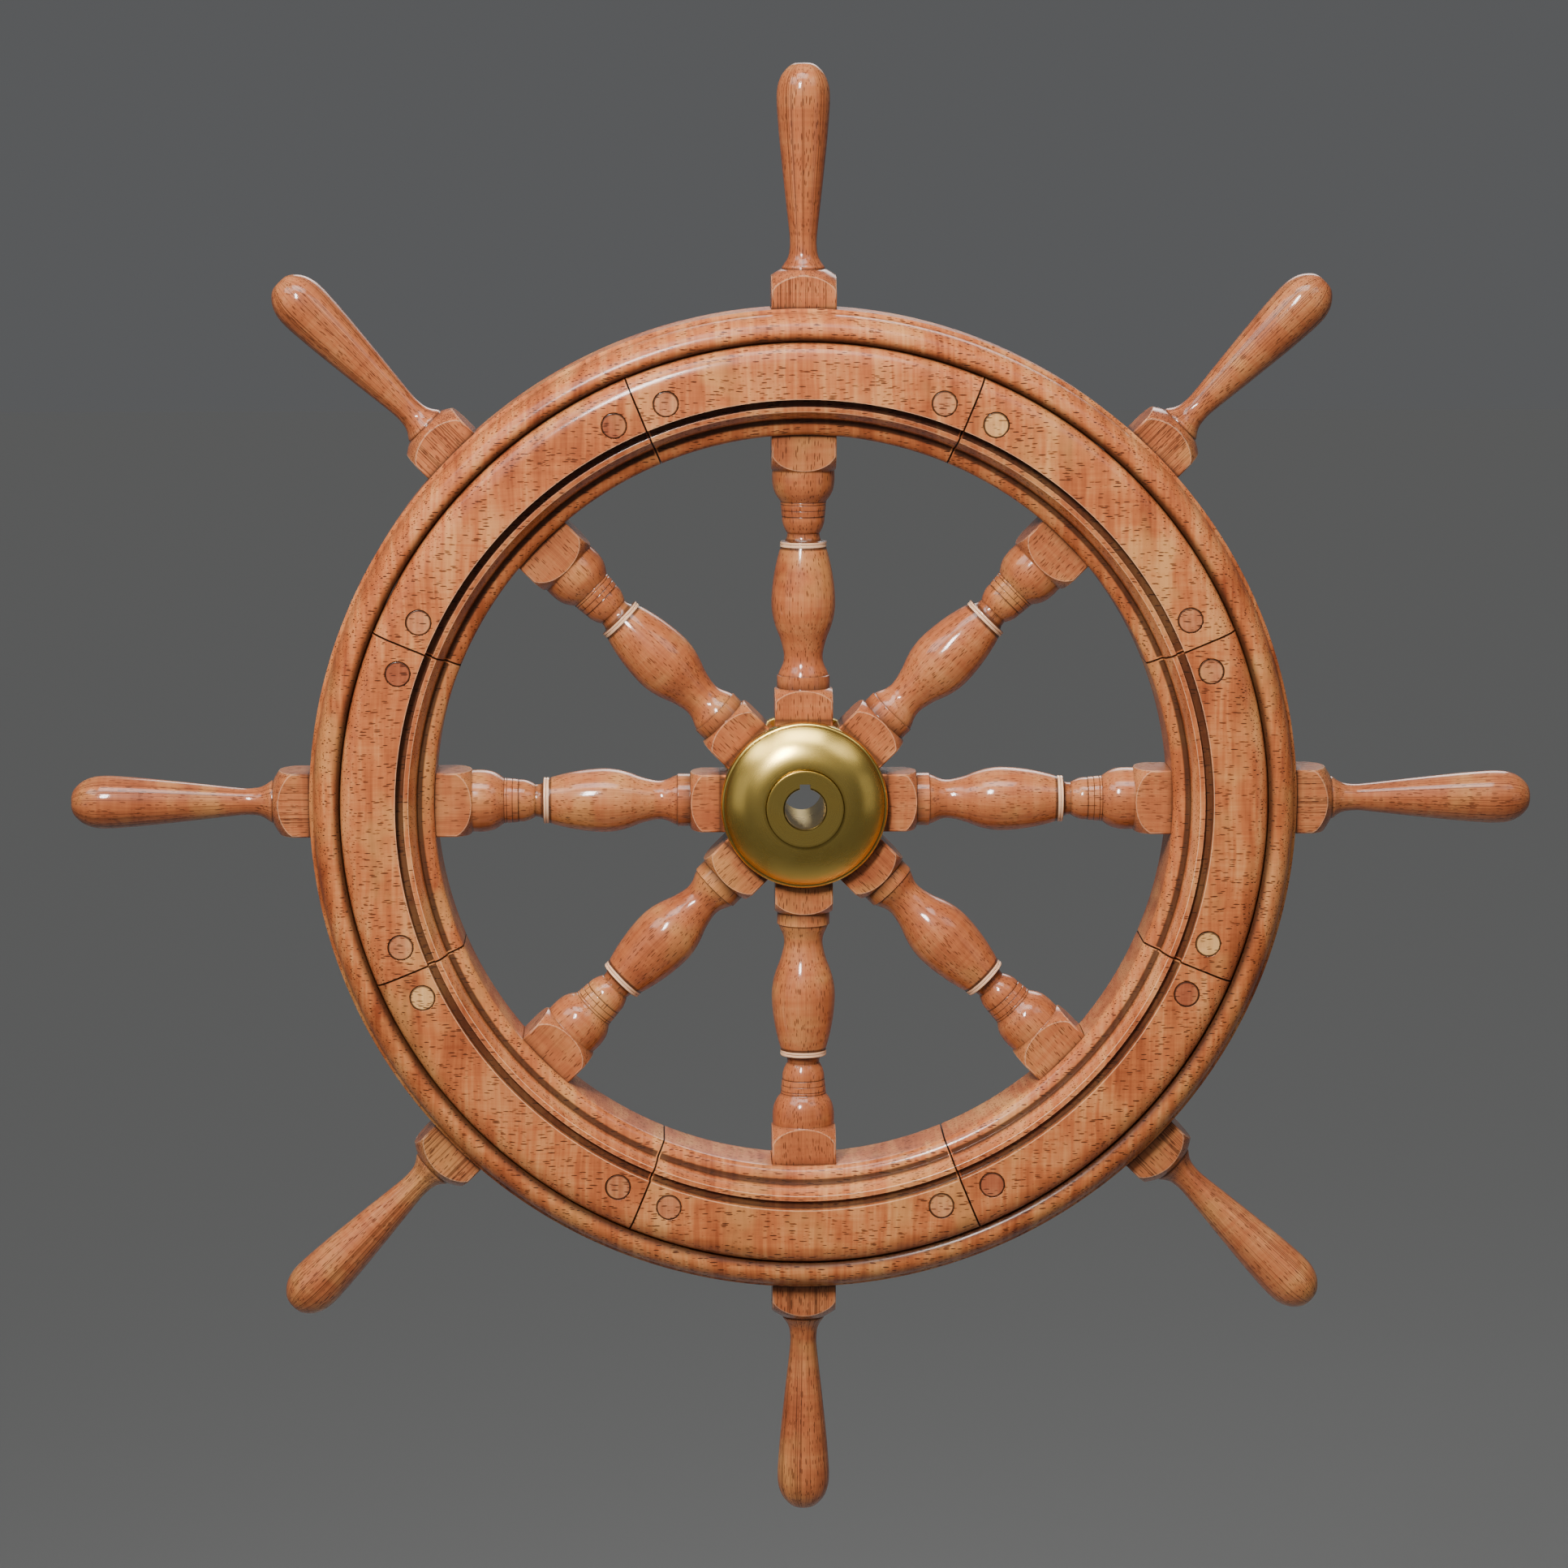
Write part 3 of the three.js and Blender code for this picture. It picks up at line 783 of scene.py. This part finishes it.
# Marks by distance from an end face, in mm: the eased edge is pale from wear and a painted highlight,
# and then dark at the joint.
END_MARKS = ((1.2, 0.0), (0.9, 0.2), (0.45, -0.5), (0.25, -1.0))
END_EASE = 0.22
MORTISE_HALF = RIM_BLOCK / 2 + GAP


def is_under_bead(place):
    """Whether a vertex lies on the wall between the bead and the inner band."""
    radius = math.hypot(place.x, place.z)
    return RIM_INNER + 7.5 < radius < RIM_INNER + 10.5 and abs(place.y) > INNER_WALL_HALF + 4


def end_distance(place):
    """How far a vertex of the top felloe is from the nearer end face, in mm."""
    return math.cos(ARC / 2) * (place.z * math.tan(ARC / 2) - abs(place.x))


def dowel_hole():
    """A drill for one dowel's hole, flared at both faces."""
    radius = DOWEL_RADIUS + GAP
    front = [(0, FACING_HALF + 2), (radius + 2.4, FACING_HALF + 2), (radius, FACING_HALF - 0.4)]
    outline = [*[(r, -y) for r, y in front], *reversed(front)]
    return turned_about_y("dowel drill", outline, steps=64)


def tenon_pocket(side):
    low, high = TENON_BOX
    length, width = TENON_HALF_LENGTH + GAP, TENON_HALF_WIDTH + GAP
    pocket = cube((-length, low.y / MM - GAP, DOWEL_CIRCLE - width),
                  (length, high.y / MM + GAP, DOWEL_CIRCLE + width))
    return rotate(pocket, "Y", side * STATION / 2)


def ease_ends(piece):
    """Puts loops close to both ends, and draws the end faces in so that their edges are eased."""
    for side in (-1, 1):
        normal = (side * math.cos(ARC / 2), 0, -math.sin(ARC / 2))
        for depth in END_LOOPS:
            score(piece, [-c * depth for c in normal], normal)
    activate(piece)
    bpy.ops.object.mode_set(mode="EDIT")
    bpy.ops.mesh.select_mode(type="FACE")
    mesh = bmesh.from_edit_mesh(piece.data)
    for face in mesh.faces:
        face.select = len(face.verts) > 8
    bmesh.update_edit_mesh(piece.data)
    bpy.ops.transform.shrink_fatten(value=-END_EASE * MM)
    bpy.ops.object.mode_set(mode="OBJECT")


felloe = turned_about_y("felloe", felloe_section, steps=48, closed=True, angle=ARC)
rotate(felloe, "Y", ARC / 2 - math.pi / 2)
ease_ends(felloe)
# Painted shade in the section's hollows, such as the quirk, and on the wall under the bead.
mark_arrises(felloe, "Y", rim_walls, 9.0)
set_arris(felloe, is_under_bead, -0.7)
for reach, value in END_MARKS:
    set_arris(felloe, lambda p: end_distance(p) < reach, value)
drills = [placed(dowel_hole(), DOWEL_CIRCLE, side * (STATION / 2 - DOWEL_ANGLE)) for side in (-1, 1)]
mortise = cube((-MORTISE_HALF, -MORTISE_HALF, 200), (MORTISE_HALF, MORTISE_HALF, 300))
cut(felloe, mortise, *drills)
cut(felloe, tenon_pocket(-1), tenon_pocket(1))

felloes = []
for station in range(SPOKES):
    piece = copy_of(felloe, f"moulded_felloe_{station + 1}", "Y", station * STATION)
    mark_board(piece, station + 1, along_x=True)
    smooth_shading(piece)
    fit(piece, felloe_wood, "felloe_wood", f"felloe_{station + 1}")
    felloes.append(piece)
bpy.data.objects.remove(felloe)
print(len(felloes), "felloes of", len(felloes[0].data.polygons), "faces")

# %% [markdown]
# ## Hoops
# A bent hoop closes the rim on each face. Its section swells to a crest close to the felloes
# and rolls down to a small facet at the outer edge. Each hoop is notched over the eight spoke
# blocks. The rear hoop is the front one turned half round.

# %% Hoops
HOOP_SHADE = ((5.4, -0.14), (4.2, -0.28), (3.0, -0.42), (1.8, -0.60))

hoop_outline = [(r, -y) for r, y in hoop_section]
hoop = turned_about_y("bent_hoop_front", hoop_outline, steps=384, closed=True)
# Painted shade in the hoop's hollows, and a painted shade on its inner flank, darkest by the groove.
mark_arrises(hoop, "Y", rim_walls, 9.0)
for reach, value in HOOP_SHADE:
    set_arris(hoop, lambda p: math.hypot(p.x, p.z) < HOOP_INNER + reach and p.y < -GAP, value)
notches = []
for station in range(SPOKES):
    notch = cube((-MORTISE_HALF, -MORTISE_HALF, 250), (MORTISE_HALF, MORTISE_HALF, 340))
    notches.append(rotate(notch, "Y", station * STATION))
cut(hoop, *notches)
rear_hoop = copy_of(hoop, "bent_hoop_rear", "Z", math.pi)
for number, (piece, node) in enumerate(((hoop, "hoop_front"), (rear_hoop, "hoop_rear"))):
    mark_board(piece, 20 + number, along_x=True)
    smooth_shading(piece)
    fit(piece, hoop_wood, "hoop_wood", node)
print("hoops of", len(hoop.data.polygons), "faces")

# %% [markdown]
# ## Spokes
# Each spoke is one stick of mahogany, turned from the square: a squared foot at the hub, a
# collar, a cove, a long vase, a pale ring, a neck, three reeds, a bulb, a second squared part
# through the rim, and the handle. The outline is turned whole, and then planes slice the two
# squares flat, which leaves the curved shoulders that the lathe cuts on a square. Loops are
# scored beside the hub and the rim, so that the painted shade of those corners stays close to
# them.


# %% Spoke outline
HUB_BLOCK_END = FLANGE_RADIUS + 18.9
RIM_BLOCK_START = RIM_INNER - 22.8
RIM_BLOCK_END = RIM_OUTER + 23.8
ARRIS = 0.5
RING_START = 159.2
RING_GROOVE = RING_START + 1.7
RING_END = RING_START + 3.4
RING_RADIUS = 14.5


def shoulder(start, control, end, steps=10):
    """The turned end of a square: a curve from one point to another, pulled to a third."""
    points = []
    for i in range(steps + 1):
        t = i / steps
        points.append(tuple((1 - t) ** 2 * a + 2 * t * (1 - t) * b + t ** 2 * c
                            for a, b, c in zip(start, control, end)))
    return points


def spoke_outline():
    """The spoke from the axis at the hub to the axis at the tip, as (radius, distance) in mm."""
    hub_corner = HUB_BLOCK * math.sqrt(0.5) - ARRIS
    rim_corner = RIM_BLOCK * math.sqrt(0.5) - ARRIS
    collar, ring, reeds = HUB_BLOCK_END, RING_START, 178.2
    start, end, tip = RIM_BLOCK_START, RIM_BLOCK_END, HANDLE_TIP
    foot = [(0, 12), (hub_corner, 12),
            *shoulder((hub_corner, collar - 7.2), (22.5, collar - 3.0), (17.2, collar))]
    vase = [(16.5, collar), (16.5, collar + 7.8),
            *smooth([(15.7, collar + 8.0), (14.9, 81.2), (12.9, 85.6), (12.1, 89.9), (12.7, 94.8),
                     (14.5, 101.6), (17.1, 108.4), (19.0, 115.2), (19.9, 122.4), (19.7, 130.2),
                     (18.9, 137.9), (17.6, 145.7), (15.8, 153.4), (14.1, ring)])]
    neck = [(RING_RADIUS, ring), (RING_RADIUS, RING_GROOVE - 0.3), (RING_RADIUS - 0.4, RING_GROOVE),
            (RING_RADIUS, RING_GROOVE + 0.3), (RING_RADIUS, RING_END),
            *smooth([(11.6, RING_END), (10.4, ring + 5.6), (10.0, ring + 8.4)]),
            *smooth([(10.5, ring + 8.9), (12.0, ring + 11.9), (13.1, ring + 15.4), (13.3, reeds)])]
    reeded = []
    for groove, radius in ((reeds, 13.4), (181.9, 13.8), (185.5, 14.1), (187.1, 14.3)):
        reeded += [(radius, groove - 0.3), (radius - 0.2, groove), (radius + 0.1, groove + 0.3)]
    bulb = smooth([(14.8, 188.2), (16.8, 191.0), (18.3, 194.1), (19.1, 197.4), (19.5, 201.6),
                   (19.4, start - 0.6)])
    block = [*shoulder((19.9, start), (25.5, start + 3.2), (rim_corner, start + 9.2)),
             *shoulder((rim_corner, end - 13.0), (25.4, end - 6.6), (14.2, end - 0.4))]
    handle = [(13.4, end - 0.4), (13.4, end + 0.4),
              *smooth([(13.0, end + 1.4), (10.8, end + 4.4), (9.2, end + 7.8), (8.5, end + 12.0),
                       (8.3, end + 17.0), (8.9, end + 24.0), (9.9, end + 33.0), (11.7, end + 49.0),
                       (13.4, end + 65.0), (15.0, end + 81.0), (16.1, end + 95.0), (16.5, tip - 23.0),
                       (16.2, tip - 16.0), (14.8, tip - 10.5), (12.6, tip - 6.3), (9.6, tip - 2.9),
                       (7.2, tip - 1.1), (5.0, tip - 0.25)]),
              (2.4, tip), (0, tip)]
    return [*foot, *vase, *neck, *reeded, *bulb, *block, *handle]


def slice_flat(piece, low, high, half):
    """Planes the part of a spoke between two distances square, to half the width on each side."""
    activate(piece)
    bpy.ops.object.mode_set(mode="EDIT")
    bpy.ops.mesh.select_mode(type="FACE")
    for normal in ((1, 0, 0), (-1, 0, 0), (0, 1, 0), (0, -1, 0)):
        mesh = bmesh.from_edit_mesh(piece.data)
        for face in mesh.faces:
            face.select = low * MM < face.calc_center_median().z < high * MM
        bmesh.update_edit_mesh(piece.data)
        point = [c * half * MM for c in normal]
        bpy.ops.mesh.bisect(plane_co=point, plane_no=normal, use_fill=True, clear_outer=True)
    bpy.ops.object.mode_set(mode="OBJECT")


def inset_flats(piece):
    """Puts an edge loop just inside each planed face, which keeps the pale edge narrow."""
    activate(piece)
    bpy.ops.object.mode_set(mode="EDIT")
    bpy.ops.mesh.select_mode(type="FACE")
    mesh = bmesh.from_edit_mesh(piece.data)
    for face in mesh.faces:
        flat = max(abs(face.normal.x), abs(face.normal.y)) > 0.9999
        face.select = flat and len(face.verts) > 12
    bmesh.update_edit_mesh(piece.data)
    bpy.ops.mesh.inset(thickness=0.6 * MM, use_individual=True)
    bpy.ops.object.mode_set(mode="OBJECT")


def wedge_foot(piece):
    """Slices the foot to the two planes where it meets its neighbours at the hub."""
    activate(piece)
    for side in (-1, 1):
        bpy.ops.object.mode_set(mode="EDIT")
        bpy.ops.mesh.select_mode(type="FACE")
        mesh = bmesh.from_edit_mesh(piece.data)
        for face in mesh.faces:
            face.select = face.calc_center_median().z < HUB_BLOCK_END * MM
        bmesh.update_edit_mesh(piece.data)
        normal = (side * math.cos(STATION / 2), 0, -math.sin(STATION / 2))
        point = [-c * GAP / 2 * MM for c in normal]
        bpy.ops.mesh.bisect(plane_co=point, plane_no=normal, use_fill=True, clear_outer=True)
        bpy.ops.object.mode_set(mode="OBJECT")


def mark_around(piece, number):
    """Where each vertex is round a spoke that stands at the top, and how far out along it."""
    count = len(piece.data.vertices)
    places = np.zeros(count * 3, np.float32)
    piece.data.vertices.foreach_get("co", places)
    x, y, z = places.reshape(-1, 3).T / MM
    squared = (z < HUB_BLOCK_END) | ((z > RIM_BLOCK_START) & (z < RIM_BLOCK_END))
    radius = np.where(squared, RIM_BLOCK * 0.6, np.maximum(np.hypot(x, y), 1))
    set_vectors(piece, "around", np.column_stack([x / radius, y / radius, z * MM + number]))


def round_bar(radius, length):
    """A plain bar along Y, used as a drill."""
    outline = [(0, -length / 2), (radius, -length / 2), (radius, length / 2), (0, length / 2)]
    return turned_about_y("drill", outline, steps=64)


# %% Spokes
CORNER_LOOPS = (0.2, 1.5, 4.0, 8.0)
CORNER_SHADE = ((6, -0.14), (3, -0.28), (1, -0.5))

spoke = turned_about_z("spoke", eased(spoke_outline(), sharp=32))
slice_flat(spoke, RIM_BLOCK_START - 0.5, RIM_BLOCK_END + 0.5, RIM_BLOCK / 2)
slice_flat(spoke, 0, HUB_BLOCK_END + 0.5, HUB_BLOCK / 2)
wedge_foot(spoke)
inset_flats(spoke)
for edge, side in ((FLANGE_RADIUS, 1), (RIM_INNER, -1), (RIM_OUTER, 1)):
    for distance in CORNER_LOOPS:
        score(spoke, (0, 0, edge + side * distance), (0, 0, 1))
planed = [(min(r, (HUB_BLOCK if z < HUB_BLOCK_END else RIM_BLOCK) / 2), z)
          for r, z in spoke_outline()]
spoke_walls = np.concatenate([
    closely(planed),
    closely([(HUB_BLOCK / 2, FLANGE_RADIUS), (HUB_BLOCK / 2 + 10, FLANGE_RADIUS)]),
    closely([(RIM_BLOCK / 2, RIM_INNER), (RIM_BLOCK / 2 + 12, RIM_INNER)]),
    closely([(RIM_BLOCK / 2, RIM_OUTER), (RIM_BLOCK / 2 + 12, RIM_OUTER)])])
# Painted shade darkens the spoke's hollows, and its blocks where they meet the hub and the rim.
mark_arrises(spoke, "Z", spoke_walls, 8.0)
for distance, value in CORNER_SHADE:
    set_arris(spoke, lambda p: FLANGE_RADIUS < p.z < FLANGE_RADIUS + distance, value)
    set_arris(spoke, lambda p: RIM_INNER - distance < p.z < RIM_INNER, value)
    set_arris(spoke, lambda p: RIM_OUTER < p.z < RIM_OUTER + distance, value)
ring_low, ring_high = RING_START + 0.05, RING_END - 0.1
# Painted shadow lines just above and below the pale ring.
set_arris(spoke, lambda p: ring_low - 1.75 < p.z < ring_low or ring_high < p.z < ring_high + 2, -0.5)
set_arris(spoke, lambda p: ring_low < p.z < ring_high and math.hypot(p.x, p.y) > 14.0, 2.0)
set_arris(spoke, lambda p: abs(p.z - RING_GROOVE) < 0.1, 0.0)
screw_bar = placed(round_bar(SHANK_HOLE, 2 * DRILL_HALF), SCREW_CIRCLE, 0)
cut(spoke, round_bar(BARREL_RADIUS + GAP, 2 * DRILL_HALF), screw_bar)

spokes = []
for station in range(SPOKES):
    angle = station * STATION
    piece = copy_of(spoke, f"turned_spoke_{station + 1}")
    mark_around(piece, station)
    rotate(piece, "Y", angle)
    mark_board(piece, 40 + station, along_x=False, angle=angle)
    smooth_shading(piece)
    fit(piece, spoke_wood, "spoke_wood", f"spoke_{station + 1}")
    spokes.append(piece)
bpy.data.objects.remove(spoke)
print(len(spokes), "spokes of", len(spokes[0].data.polygons), "faces")

# %% [markdown]
# ## Dowels
# Sixteen dowels pass right through the rim, two at each joint, and pin the hidden tenons. Their
# ends show as round plugs. They were cut from offcuts, so their tints differ, from dark red to
# pale yellow.

# %% Dowels
dowel_tints = {
    "dark": wood("dark dowel wood", rgb(128, 62, 38), rgb(162, 88, 56), rgb(182, 112, 74)),
    "plain": wood("plain dowel wood", rgb(150, 82, 50), rgb(184, 114, 74), rgb(204, 142, 94)),
    "pale": wood("pale dowel wood", rgb(186, 124, 74), rgb(216, 158, 98), rgb(232, 184, 122)),
}
TINT_ORDER = ("plain", "pale", "plain", "plain", "pale", "dark", "dark", "plain",
              "plain", "plain", "pale", "plain", "dark", "plain", "dark", "plain")
dowel_profile = eased([(0, -FACING_HALF), (DOWEL_RADIUS, -FACING_HALF),
                       (DOWEL_RADIUS, FACING_HALF), (0, FACING_HALF)], guard=0.6)
dowel = turned_about_y("dowel", dowel_profile, steps=64)
mark_arrises(dowel)
set_arris(dowel, lambda p: math.hypot(p.x, p.z) > DOWEL_RADIUS - 0.6, -0.9)
placed(dowel, DOWEL_CIRCLE, 0)
for number in range(2 * SPOKES):
    side = -1 if number % 2 == 0 else 1
    angle = (number // 2 + 0.5) * STATION + side * DOWEL_ANGLE
    piece = copy_of(dowel, f"dowel_{number + 1}_plug", "Y", angle)
    mark_board(piece, 60 + number, along_x=True)
    smooth_shading(piece)
    fit(piece, dowel_tints[TINT_ORDER[number]], "dowel_wood", f"rim_dowel_{number + 1}")
bpy.data.objects.remove(dowel)
print(2 * SPOKES, "dowels")

# %% [markdown]
# ## Hub
# Two brass castings grip the spokes' feet. The rear one carries the barrel, which passes
# through the dome of the front one and stands a little proud of it. The bore has one keyway, at
# the top. Eight slotted screws from the rear pull the castings together.

# %% Hub outlines
FLANGE_FACE = HUB_BLOCK / 2 + GAP
DOME_EDGE = FLANGE_FACE + 10.8
DOME_TOP = HUB_END - 3.4
DOME_RADIUS = 49.7
DOME_SHADE = ((46.8, -0.08), (48.4, -0.26))
SCREW_RADIUS = 5.0
SCREW_POINT = 28.3
HEAD_HEIGHT = 4
SLOT_DEPTH = 1.6
SLOT_HALF = 0.7


def dome_height(radius):
    share = (radius - BARREL_RADIUS) / (DOME_RADIUS - BARREL_RADIUS)
    return DOME_TOP - (DOME_TOP - DOME_EDGE) * share ** 2.2


def dome(inner):
    """The flange's rounded rim, the step and the dome in to the barrel, as (radius, height)."""
    rise = [(r, dome_height(r)) for r in np.linspace(DOME_RADIUS, BARREL_RADIUS + 1.2, 24)]
    rim = rounded((FLANGE_RADIUS, DOME_EDGE - 3.6), (DOME_RADIUS + 0.2, DOME_EDGE - 1.0), False, 8)
    step = (DOME_RADIUS, DOME_EDGE - 1.0)
    return [(FLANGE_RADIUS, FLANGE_FACE), *rim, step, *rise, (inner, DOME_TOP)]


HEAD_TOP = dome_height(SCREW_CIRCLE) - 1.6


def screw_hole(station):
    """A drill for one screw's shank and sunk head."""
    seat, width = HEAD_TOP - HEAD_HEIGHT - GAP, SCREW_RADIUS + GAP
    outline = [(0, 10), (SHANK_HOLE, 10), (SHANK_HOLE, seat), (width, seat), (width, DRILL_HALF),
               (0, DRILL_HALF)]
    return placed(turned_about_y("drill", outline, steps=48), SCREW_CIRCLE, station * STATION)


def tapped_hole(station):
    """A drill for the end of one screw, in the front casting."""
    bottom = -SCREW_POINT - GAP
    outline = [(0, bottom), (SHANK_HOLE, bottom), (SHANK_HOLE, -10), (0, -10)]
    return placed(turned_about_y("drill", outline, steps=48), SCREW_CIRCLE, station * STATION)


# %% Barrel and domes
barrel_outline = eased([
    (BORE_RADIUS, -HUB_END), (BARREL_RADIUS, -HUB_END), (BARREL_RADIUS, FLANGE_FACE),
    *dome(BARREL_RADIUS), (BARREL_RADIUS, HUB_END), (BORE_RADIUS, HUB_END)], guard=0.9, closed=True)
barrel = turned_about_y("brass_barrel", barrel_outline, steps=160, closed=True)
plate_inner = BARREL_RADIUS + 0.12
plate_outline = eased([(plate_inner, FLANGE_FACE), *dome(plate_inner)], closed=True)
plate_outline = [(r, -y) for r, y in plate_outline]
plate = turned_about_y("brass_dome", plate_outline, steps=160, closed=True)
hub_walls = np.concatenate([closely([*path, path[0]]) for path in (barrel_outline, plate_outline)])
# Painted shade in the hollows between the barrel and the dome.
for piece in (barrel, plate):
    mark_arrises(piece, "Y", hub_walls, 5.0)
# Painted shadow: a dark line round each mouth of the bore.
set_arris(barrel, lambda p: math.hypot(p.x, p.z) < BORE_RADIUS + 0.4
          and abs(p.y) > HUB_END - 0.7, -0.8)
# Painted shade darkens the dome towards its outer rim.
for piece in (barrel, plate):
    for radius, value in DOME_SHADE:
        set_arris(piece, lambda p: radius < math.hypot(p.x, p.z) < DOME_RADIUS + 0.1, value)
keyway = cube((-KEYWAY_HALF, -DRILL_HALF, 0), (KEYWAY_HALF, DRILL_HALF, KEYWAY_TOP))
cut(barrel, keyway, *[screw_hole(i) for i in range(SPOKES)])
cut(plate, *[tapped_hole(i) for i in range(SPOKES)])

for piece, node in ((barrel, "hub_body"), (plate, "hub_front_plate")):
    smooth_shading(piece)
    fit(piece, hub_brass, "hub_brass", node)
print("barrel of", len(barrel.data.polygons), "faces")

# %% Hub screws
screw_outline = eased([
    (0, -SCREW_POINT), (1.6, -SCREW_POINT), (3.0, 1.8 - SCREW_POINT), (3.0, HEAD_TOP - HEAD_HEIGHT),
    (SCREW_RADIUS, HEAD_TOP - HEAD_HEIGHT), (SCREW_RADIUS, HEAD_TOP - 0.4),
    (SCREW_RADIUS - 0.8, HEAD_TOP), (0, HEAD_TOP)])
screw = placed(turned_about_y("screw", screw_outline, steps=48), SCREW_CIRCLE, 0)
mark_arrises(screw)
slot = cube((-6, HEAD_TOP - SLOT_DEPTH, SCREW_CIRCLE - SLOT_HALF),
            (6, HEAD_TOP + 1, SCREW_CIRCLE + SLOT_HALF))
cut(screw, slot)
for station in range(SPOKES):
    piece = copy_of(screw, f"brass_screw_{station + 1}", "Y", station * STATION)
    smooth_shading(piece)
    fit(piece, screw_brass, "screw_brass", f"hub_screw_{station + 1}")
bpy.data.objects.remove(screw)
print(SPOKES, "screws")

# %% [markdown]
# ## Loose tenons
# The tenons are plain planed blocks inside the joints, so the CAD pieces keep their shape and
# only take a plank and a wood finish.

# %% Tenons
for number in range(1, SPOKES + 1):
    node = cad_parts[f"rim_tenon_{number}"]
    mark_board(node, 80 + number, along_x=True)
    node.data.materials.clear()
    node.data.materials.append(tenon_wood)
print(SPOKES, "tenons")
